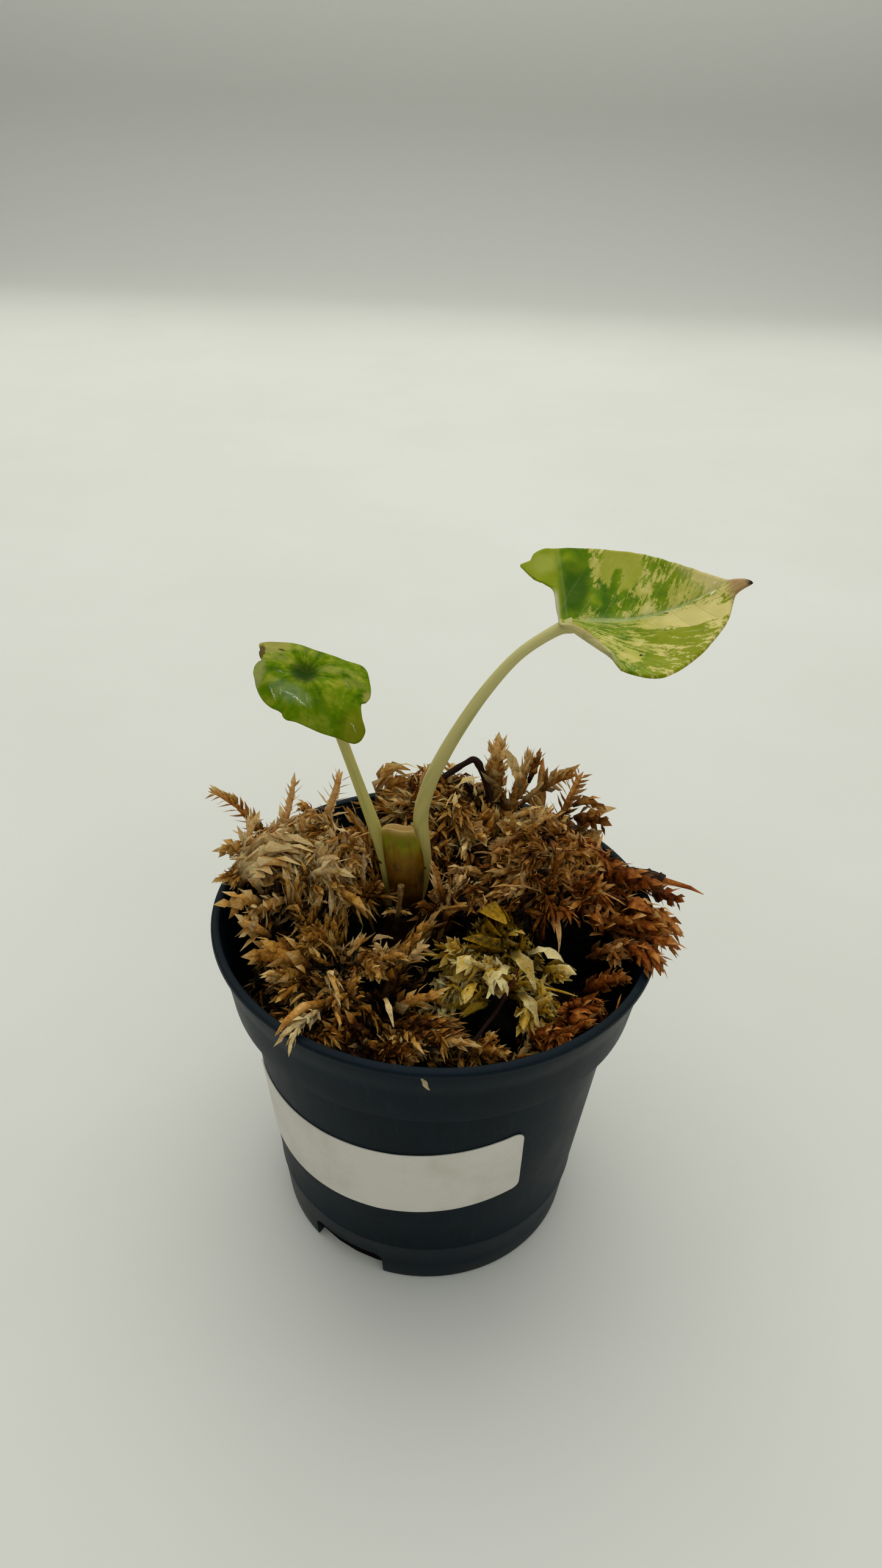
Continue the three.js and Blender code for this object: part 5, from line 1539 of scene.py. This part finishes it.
# Sprigs that catch the eye: kind, root, middle, tip, radius, tone
NOTABLE = {
    "moss_left_tan": [
        ("flame", (-32.4, 3.9, 60), (-29.0, 4.6, 71.8), (-21.6, 4.9, 67.0), 1.4, 0.9),
        ("flame", (-31.9, 2.2, 60), (-28.4, 2.2, 71.0), (-21.0, 3.2, 66.0), 1.5, 0.85),
        ("flame", (-30.9, 0.8, 61), (-27.4, 0.4, 69.6), (-22.6, 0.6, 65.0), 1.3, 0.8),
        ("star", (-30.9, 4.8, 63), (-30.0, 5.2, 69.0), (-28.6, 5.8, 71.5), 1.2, 0.9),
        ("star", (-27.0, 5.4, 66), (-26.0, 4.2, 70.0), (-23.6, 2.2, 69.4), 1.2, 0.88),
        ("flame", (-15.8, -1.5, 62.5), (-13.2, -3.4, 65), (-10.4, -4.6, 60), 1.15, 0.62),
        ("catkin", (-27.0, -3.7, 61.5), (-29.2, -4.6, 63.5), (-32.2, -4.3, 61), 1.7, 0.72),
        ("star", (-25.0, -8.2, 58.5), (-27.2, -8.9, 61.5), (-29.6, -8.9, 61.8), 1.7, 0.8),
        ("star", (-20, -0.5, 64), (-17, -1.4, 68), (-13.7, -1.5, 66), 1.5, 0.9),
        ("comb", (-19, 1.5, 65), (-17.5, 0, 68.5), (-15, -1, 68.5), 1.4, 0.88),
        ("bud", (-29.5, 2.5, 62), (-28, -0.5, 65.5), (-24.6, -2.3, 64), 1.9, 0.7),
        ("ribbon", (-14, 9.5, 62), (-14.5, 8, 68), (-16.5, 5.5, 69.5), 1.3, 0.9),
        ("flame", (-5.9, -0.8, 58.4), (-6.8, -1.4, 59.6), (-8.2, -1.8, 58.6), 0.5, 0.7),
        ("flame", (-5.9, -0.9, 58.4), (-5.2, -1.5, 59.6), (-3.9, -1.7, 58.8), 0.45, 0.66),
        ("comb", (-11, 0.5, 59), (-10.0, 0.2, 63.5), (-8.6, -0.8, 64.5), 0.8, 0.55),
    ],
    "moss_back_brown": [
        ("catkin", (8.4, 21.6, 69), (9.3, 22.4, 73), (9.0, 22.8, 77), 1.5, 0.75),
        ("ribbon", (12.8, 21.5, 70.5), (12.2, 22, 73), (10.8, 22.7, 75.2), 1.2, 0.85),
        ("ribbon", (13.5, 20.5, 69), (12.6, 21.5, 71.5), (12.3, 22.4, 74), 1.1, 0.8),
        ("flame", (15.0, 22.4, 69), (15.6, 22.7, 72.5), (16.7, 22.8, 75), 0.8, 0.35),
        ("flame", (-10.5, 20, 63.5), (-11.2, 20.5, 74.6), (-5.2, 21, 71.4), 1.15, 0.78),
        ("catkin", (-9.6, 20, 62.5), (-10.4, 20.5, 70.4), (-4.6, 21, 69.6), 1.1, 0.62),
        ("flame", (-8.8, 20, 61), (-9.0, 20.5, 67.3), (-4.2, 21, 67.6), 1.1, 0.5),
        ("comb", (-4, 21, 64), (-3.6, 21.5, 71.0), (-1.8, 21.5, 72.0), 0.8, 0.8),
        ("ribbon", (2, 20, 68), (3, 20.5, 70.5), (6.5, 21, 70.5), 0.7, 0.8),
    ],
    "moss_right_rust": [
        ("comb", (17.0, 20.8, 68.5), (20, 22, 71.5), (22.9, 22.3, 71), 1.6, 0.6),
        ("flame", (22.5, 19.5, 66.5), (26.0, 20, 69), (27.9, 19.7, 65.2), 0.95, 0.6),
        ("catkin", (22.5, 16.8, 66), (25.5, 16.8, 67), (28.4, 16.7, 64.8), 1.5, 0.5),
        ("comb", (15.3, 11.1, 67), (16.5, 11, 70.5), (19, 12.5, 69), 1.2, 0.78),
        ("long_catkin", (22.0, 8.2, 63.5), (28.0, 5.2, 65.2), (37.2, 4.6, 60.4), 1.7, 0.5),
        ("bud", (22.0, 8.4, 63), (24.2, 7.0, 66.5), (27.5, 5.6, 65), 1.9, 0.6),
        ("catkin", (34.5, 3.4, 60.8), (37, 3.2, 61.4), (39.4, 2.5, 60.2), 1.3, 0.5),
        ("bud", (29.6, -0.6, 60.8), (31.8, -1.8, 63), (34.0, -3.9, 61.4), 1.8, 0.5),
        ("flame", (33.8, -0.4, 60.6), (35.6, -2.2, 61.6), (37.0, -5.2, 60.4), 1.2, 0.7),
        ("flame", (28.9, -8.0, 59.6), (30.6, -11.0, 62), (32.0, -14.6, 60.4), 1.3, 0.5),
        ("flame", (31.2, -8.2, 60.4), (32.4, -11.6, 62), (33.2, -15.4, 60.4), 1.1, 0.55),
        ("flame", (32.0, -7.4, 60.6), (34.6, -8.0, 61.4), (37.2, -9.2, 60.2), 0.9, 0.62),
        ("star", (26.4, -2.6, 57), (25.8, -2.6, 60), (24.9, -2.4, 61.8), 1.4, 0.75),
        ("star", (27.3, -6, 56.5), (27.6, -8, 58), (28.1, -9.8, 58.4), 1.0, 0.8),
        ("ribbon", (24.6, 17.1, 63.5), (26.5, 16.4, 64.5), (27.6, 14.9, 60.6), 1.3, 0.95),
        ("flame", (1.0, -1.0, 57), (-0.8, -1.2, 62.0), (-3.2, -1.8, 60.2), 0.9, 0.4),
        ("star", (0.5, -2.0, 56), (-1.0, -2.2, 60.0), (-3.4, -2.4, 58.2), 0.8, 0.28),
        ("comb", (1.5, 0.5, 59), (0.4, 0.2, 65.0), (-0.6, 0.2, 67.5), 0.8, 0.65),
        ("ribbon", (18.4, -1.0, 61.2), (19.2, -4.6, 62.5), (19.1, -9.0, 58), 0.75, 0.9),
    ],
    "moss_front_yellow": [
        ("bud", (7.4, -1.6, 58), (9.0, -4.6, 63.4), (12.2, -8.7, 60.6), 2.3, 0.42),
        ("bud", (11.5, -9.0, 58), (7.4, -10.2, 61.8), (3.0, -9.5, 60.4), 1.5, 0.35),
        ("ribbon", (11.0, -14.6, 60.2), (9.4, -17.6, 63.2), (8.0, -21.4, 60), 1.4, 0.99),
        ("bud", (9.2, -16.2, 59), (8.8, -19.0, 62.0), (9.8, -22.2, 60.0), 1.6, 0.95),
        ("ribbon", (11.4, -12.9, 61), (13.6, -14.8, 63), (14.7, -18.4, 59.4), 1.4, 0.82),
        ("ribbon", (14.0, -11.7, 60.4), (16.6, -11.8, 62.4), (19.6, -12.4, 59.8), 1.2, 0.95),
        ("ribbon", (12.4, -19.6, 59.6), (14.4, -21.8, 61), (14.8, -25.2, 58.8), 1.2, 0.8),
        ("bud", (6.0, -11.5, 58), (5.4, -14.6, 61.5), (3.2, -18.6, 59.0), 1.6, 0.72),
        ("bud", (6.8, -16.5, 57.6), (5.2, -19.4, 60.4), (4.4, -22.4, 58.4), 1.3, 0.8),
    ],
    "moss_front_left": [
        ("catkin", (-18.2, -14.0, 58), (-22.5, -14.6, 61.6), (-27.2, -14.8, 60.6), 1.9, 0.62),
        ("flame", (-19.5, -12.8, 58.6), (-22.5, -13.0, 61.6), (-25.8, -12.6, 60), 1.5, 0.6),
        ("flame", (-15.4, -15.0, 58), (-14.6, -18.4, 61.4), (-13.0, -21.8, 59), 0.8, 0.85),
        ("long_catkin", (-7.0, -16.2, 53.5), (-5.6, -12.4, 60.5), (0.2, -5.6, 62.2), 1.0, 0.5),
        ("catkin", (-7.0, -17.2, 53.5), (-6.4, -15.2, 57), (-4.6, -12.4, 59.6), 1.6, 0.42),
        ("star", (-4.6, -12.6, 57), (-3.2, -11.5, 60), (-0.6, -11.0, 60.6), 1.1, 0.95),
        ("star", (-6.2, -13.2, 56), (-7.6, -11.8, 60), (-8.8, -10.8, 60.6), 1.0, 0.9),
        ("star", (-15.8, -23.6, 58.6), (-16.6, -26.0, 60.6), (-18.0, -28.4, 60.2), 0.9, 0.99),
        ("flame", (-16.6, -26.4, 59.8), (-18.4, -29.0, 61.6), (-20.7, -29.4, 58.4), 0.7, 0.99),
        ("flame", (-17.6, -28.0, 60.2), (-18.4, -30.0, 60.8), (-19.0, -31.6, 58.4), 0.5, 0.99),
        ("ribbon", (-6.8, -20.0, 58.2), (-6.2, -22.0, 59.6), (-5.2, -24.6, 57), 0.6, 0.95),
        ("ribbon", (-9.4, -8.8, 58.6), (-9.0, -9.6, 61.4), (-6.2, -9.4, 60.4), 0.6, 0.92),
    ],
    "moss_front_brown": [
        ("catkin", (-5.4, -20.8, 56.6), (-2, -19.6, 58.6), (1.8, -18.6, 57.6), 1.35, 0.75),
        ("long_catkin", (-6.0, -22.9, 55.2), (-1, -23, 57.4), (4.6, -22.4, 55.6), 0.85, 0.5),
        ("long_catkin", (-4.2, -25.2, 54.8), (0, -25, 56.8), (5.6, -23.6, 55.2), 0.85, 0.56),
        ("star", (-8.4, -24.4, 54.6), (-11, -24, 57), (-13.9, -22.9, 57.4), 1.4, 0.6),
        ("star", (-11, -26.2, 54.4), (-13, -25.8, 56.4), (-14.6, -24.6, 57), 1.1, 0.7),
    ],
    "moss_front_right": [
        ("bud", (19.6, -19.5, 54.6), (21.4, -20.6, 57), (23.6, -21.4, 56.4), 1.5, 0.58),
        ("star", (14.2, -23.4, 54), (15.4, -24, 57), (16.6, -24.6, 57), 1.2, 0.75),
    ],
}


def is_open_place(x, y, z):
    return any(low < z < high and ((x - cx) / rx) ** 2 + ((y - cy) / ry) ** 2 < 1
               for (cx, cy), (rx, ry), (low, high) in OPEN_PLACES)


def enters_open_place(root, middle, tip):
    """Looks at the root, half way along, three quarters of the way along, and the tip."""
    late = 0.06 * root + 0.38 * middle + 0.56 * tip
    return any(is_open_place(*p) for p in (root, 0.25 * root + 0.5 * middle + 0.25 * tip, late, tip))


# %% Grow one clump
BRANCHES = {"chosen": 6, "strewn": 5, "cover": 8}  # how many sprigs are set along a strand or in a tuft
BARE_KINDS = ("long_comb", "comb", "thread")  # these strands carry no branches


def heart_of_clump(thicket, core, seed):
    """The lumpy dome inside a clump, from an ico sphere, made near black as painted shade."""
    cx, cy, rx, ry, top = core
    ball = new_mesh("ico_sphere", subdivisions=4, radius=1)
    points = np.array([tuple(v.co) for v in ball.data.vertices])
    faces = np.array([tuple(p.vertices) for p in ball.data.polygons])
    bpy.data.objects.remove(ball)
    lumps = np.array([noise.noise(Vector(p * 3.1) + Vector((seed, 0, 0))) for p in points])
    points = points * (0.72 + 0.2 * lumps[:, None]) * (rx, ry, top - BED_Z)
    points = points + (cx, cy, BED_Z)
    points[:, 2] = np.maximum(points[:, 2], BED_Z + 0.05)
    # painted shade: the lowest tone and a root-end mark all over make the dome near black
    thicket.add(keep_clear_of_pot(points), faces, 0.02, np.zeros(len(points)))


def weft_direction(x, y, seed):
    """The heading of the sprigs at (x, y), which changes slowly over the mound."""
    return TURN * 1.3 * noise.noise(Vector((x * 0.085, y * 0.085, seed * 1.7)))


def grow_chosen(thicket, dice, core, strands):
    """Each listed strand, with a few short branches at its foot."""
    for root, tip, radius, bow, kind in strands:
        root = np.array((root[0], root[1], min(root[2], mound_top(core, root[0], root[1]) - 1)))
        tip = np.array(tip, float)
        middle = (root + tip) / 2 + (0, 0, 2 * bow)
        tone = dice.uniform(0.6, 0.88)
        over_rim = math.hypot(tip[0], tip[1]) > POT["lip"]
        girth = radius if "comb" in kind else 0.85 * radius
        thicket.grow(kind, root, middle, tip, girth, dice.uniform(0, TURN), tone, over_rim)
        for _ in range(0 if kind in BARE_KINDS else BRANCHES["chosen"]):
            shift = np.array([dice.gauss(0, 1.0) for _ in range(3)])
            start = root + (tip - root) * dice.uniform(0.0, 0.45) + shift * 0.5
            end = start + (tip - root) * dice.uniform(0.3, 0.55) + shift * 1.8
            half = (start + end) / 2 + (0, 0, dice.uniform(0.2, 1.0))
            if not enters_open_place(start, half, end):
                thicket.grow(dice.choice(("catkin", "flame", "comb")), start, half, end,
                             dice.uniform(0.65, 1.0), dice.uniform(0, TURN),
                             tone + dice.uniform(-0.15, 0.1), over_rim)


def grow_strewn(thicket, dice, core, strewn, seed, kinds):
    """A tuft of branches along each strand that the CAD model strews."""
    for root, tip, radius, bow in strewn_strands(core, strewn, seed):
        tone = dice.uniform(0.3, 0.9)
        kind = dice.choice(kinds)
        for _ in range(BRANCHES["strewn"]):
            spread = np.array([dice.gauss(0, 0.5 * radius) for _ in range(3)])
            end = np.array(tip) + [dice.gauss(0, 0.9 * radius) for _ in range(3)]
            start = np.array(root) + spread
            middle = (start + end) / 2 + (0, 0, 2 * bow) + spread
            if not enters_open_place(start, middle, end):
                thicket.grow(kind, start, middle, end, dice.uniform(0.65, 0.95),
                             dice.uniform(0, TURN), tone + dice.uniform(-0.1, 0.1))


def surface(core, x, y, seed):
    """The mound's own height, with lumps and hollows about as wide as a tuft."""
    lumps = 3.2 * noise.noise(Vector((x * 0.16, y * 0.16, seed)))
    lumps += 1.8 * noise.noise(Vector((x * 0.42, y * 0.42, seed + 7.0)))
    return mound_top(core, x, y) - 1.2 + lumps


def grow_cover(thicket, dice, core, seed, tufts, kinds, rise, fairness):
    """Tufts set over the mound in a sunflower spiral. Their branches arch over and lie on the mound."""
    cx, cy, rx, ry, _ = core
    for k in range(tufts):
        out = math.sqrt((k + 0.5) / tufts)
        x = cx + 0.9 * rx * out * math.cos(k * GOLDEN_ANGLE) + dice.gauss(0, 1.0)
        y = cy + 0.9 * ry * out * math.sin(k * GOLDEN_ANGLE) + dice.gauss(0, 1.0)
        heading = weft_direction(x, y, seed) + dice.gauss(0, 0.5)
        tone = fairness + dice.gauss(0, 0.2)
        size = dice.uniform(0.8, 1.3)
        kind = dice.choice(kinds)
        for _ in range(BRANCHES["cover"]):
            turn = heading + dice.gauss(0, 0.8)
            ahead = np.array((math.cos(turn), math.sin(turn), 0))
            root = np.array((x + dice.gauss(0, 1.4), y + dice.gauss(0, 1.4), 0))
            root[2] = surface(core, root[0], root[1], seed) - 0.8
            tip = root + ahead * dice.uniform(3.0, 6.2) * size
            if math.hypot(root[0], root[1]) > NEAR_LIP:
                continue
            lifted = surface(core, tip[0], tip[1], seed) + dice.uniform(-0.5, 6.0 * rise)
            tip[2] = max(lifted, root[2] - 3.5)
            bow = dice.gauss(0, 2.3)
            middle = (root + tip) / 2 + (-ahead[1] * bow, ahead[0] * bow, 0)
            middle[2] = max(root[2], tip[2]) + dice.uniform(0.2, 3.2)
            if enters_open_place(root, middle, tip):
                continue
            own_kind = kind if dice.random() < 0.75 else dice.choice(kinds)
            thicket.grow(own_kind, root, middle, tip, dice.uniform(0.5, 0.85) * size,
                         dice.uniform(0, TURN), tone + dice.gauss(0, 0.1))
        if k % 2:  # every other tuft sends out a bare thread
            root = np.array((x, y, surface(core, x, y, seed) + 0.5))
            tip = root + [dice.gauss(0, 4), dice.gauss(0, 4), dice.uniform(0.5, 4)]
            middle = (root + tip) / 2 + [dice.gauss(0, 1.5), dice.gauss(0, 1.5), 1.5]
            if not enters_open_place(root, middle, tip):
                tip[:2] *= min(1, POT["rim"] / math.hypot(tip[0], tip[1]))
                thicket.grow("thread", root, middle, tip, dice.uniform(0.14, 0.3), 0, 0.8)


def grow_clump(core, strewn, seed, tufts, kinds, rise, strands, notable, low_mounds=(),
               fairness=0.52):
    dice = random.Random(seed)
    thicket = Thicket()
    for kind, root, middle, tip, radius, tone in notable:
        over_rim = math.hypot(tip[0], tip[1]) > POT["lip"]
        thicket.grow(kind, root, middle, tip, radius, dice.uniform(0, TURN), tone, over_rim)
    grow_chosen(thicket, dice, core, strands)
    grow_strewn(thicket, dice, core, strewn, seed, kinds)
    grow_cover(thicket, dice, core, seed, tufts, kinds, rise, fairness)
    for low_mound, few in low_mounds:
        grow_cover(thicket, dice, low_mound, seed, few, kinds, rise, fairness)
    heart_of_clump(thicket, core, seed)
    return thicket


# %% [markdown]
# ## Moss colours
# Dried sphagnum runs from straw through tan and rust to a deep brown. Each sprig has its own tone,
# darker at its foot, where light hardly reaches, and paler at its tip. The leaflets are thin, so a
# little light passes through them.

# %% The finish of moss
SHADED_BELOW, LIT_ABOVE = 53.0, 66.0  # heights in mm: painted shade darkens moss below the first, deep in the pot, and fades out by the second


def moss_finish(name, tip_colour, stops, inland=None):
    """inland: another set of stops, for patches that lie away from the pot's front right."""
    r = start_material(name)
    tone, along, _ = r.separate(r.uv())
    p = r.place()
    patches = r.noise(p, 0.13, 3, 0.55)
    fine = r.noise(p, 1.3, 4, 0.65)
    # painted shade: the lower the moss lies in the pot, the darker
    lit_by_height = r.smooth(r.separate(p)[2], SHADED_BELOW, LIT_ABOVE)
    shade = r.add(tone, r.times(r.minus(patches, 0.5), 0.7), r.times(r.minus(fine, 0.5), 0.6),
                  r.times(lit_by_height, 0.24), -0.18)
    base = r.ramp(shade, stops)
    if inland:
        x, y, _ = r.separate(p)
        out = r.add(x, r.times(y, -0.8), r.times(r.minus(r.noise(p, 0.2, 2), 0.5), 40.0))
        base = r.tint(base, r.ramp(shade, inland), r.smooth(out, 28.0, 12.0), 0.85)
    base = r.tint(base, tip_colour, r.smooth(along, 0.75, 1.0), 0.3)
    base = r.tint(base, "060301", r.smooth(along, 0.45, 0.0), 0.85)
    rough = r.add(0.36, r.times(fine, 0.25))
    crumple = r.add(fine, r.times(r.noise(p, 3.6, 2), 0.4))
    return r.material(base, rough, r.bump(crumple, 0.7, 0.8), Specular_IOR_Level=0.09,
                      Subsurface_Weight=0.3, Subsurface_Scale=0.0012)


MOSS_COLOURS = {  # the colour of the tips, and stops from the darkest tone to the palest
    "moss_tan": ("e0b870", [
        (0.1, "0c0602"), (0.32, "4c2c06"), (0.5, "a26c1e"), (0.68, "d29c48"), (0.92, "eecf94")]),
    "moss_brown": ("dab066", [
        (0.1, "0c0502"), (0.3, "442206"), (0.48, "8c5412"), (0.66, "c08a38"), (0.92, "eaca88")]),
    "moss_rust": ("d0904a", [
        (0.1, "0c0401"), (0.3, "451d03"), (0.48, "8a440a"), (0.66, "c07a30"), (0.92, "e8ba78")], [
        (0.1, "0a0401"), (0.32, "3e2002"), (0.5, "825010"), (0.68, "bc883c"), (0.92, "e8c282")]),
    "moss_yellow": ("e4ca82", [
        (0.1, "0e0a01"), (0.28, "523e02"), (0.46, "a27a06"), (0.66, "cea634"), (0.92, "f0dc9e")]),
}
MOSS_FINISHES = {slot: moss_finish(slot + "_skin", *tones) for slot, tones in MOSS_COLOURS.items()}

# %% Grow every clump
for name, clump in CLUMPS.items():
    slot = clump.pop("slot")
    made = grow_clump(**clump, notable=NOTABLE[name]).to_object(name + "_sprigs")
    finish_piece(made, name + "_sprigs", MOSS_FINISHES[slot], slot, [name], 180)


def dry_leaf():
    r = start_material("dry_leaf")
    flecks = r.noise(r.place(), 1.6, 3)
    base = r.mix(flecks, "a8966a", "d2c69c")
    return r.material(base, 0.6, r.bump(flecks, 0.1, 0.5), Specular_IOR_Level=0.1)


stuck = Thicket()
stuck.grow("ribbon", (-1.0, -34.2, 58.8), (-0.8, -34.3, 56.8), (0.1, -33.85, 54.9), 0.55, 0.3, 0.9,
           loose=True)
finish_piece(stuck.to_object("moss_leaf_on_wall"), "moss_leaf_on_wall", dry_leaf(), "moss_tan", [], 180)

# %% [markdown]
# ## The last look
# Two boxes are kept side by side, one for the CAD model and one for the dressed object, to show how
# closely the fine work keeps to the model's size.

# %% Print the sizes of both boxes
sizes = {"cad": [list(corner) for corner in cad_box], "visual": [list(c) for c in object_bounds()]}
for key, box in sizes.items():
    print(key, [[round(c * 1000, 2) for c in corner] for corner in box])
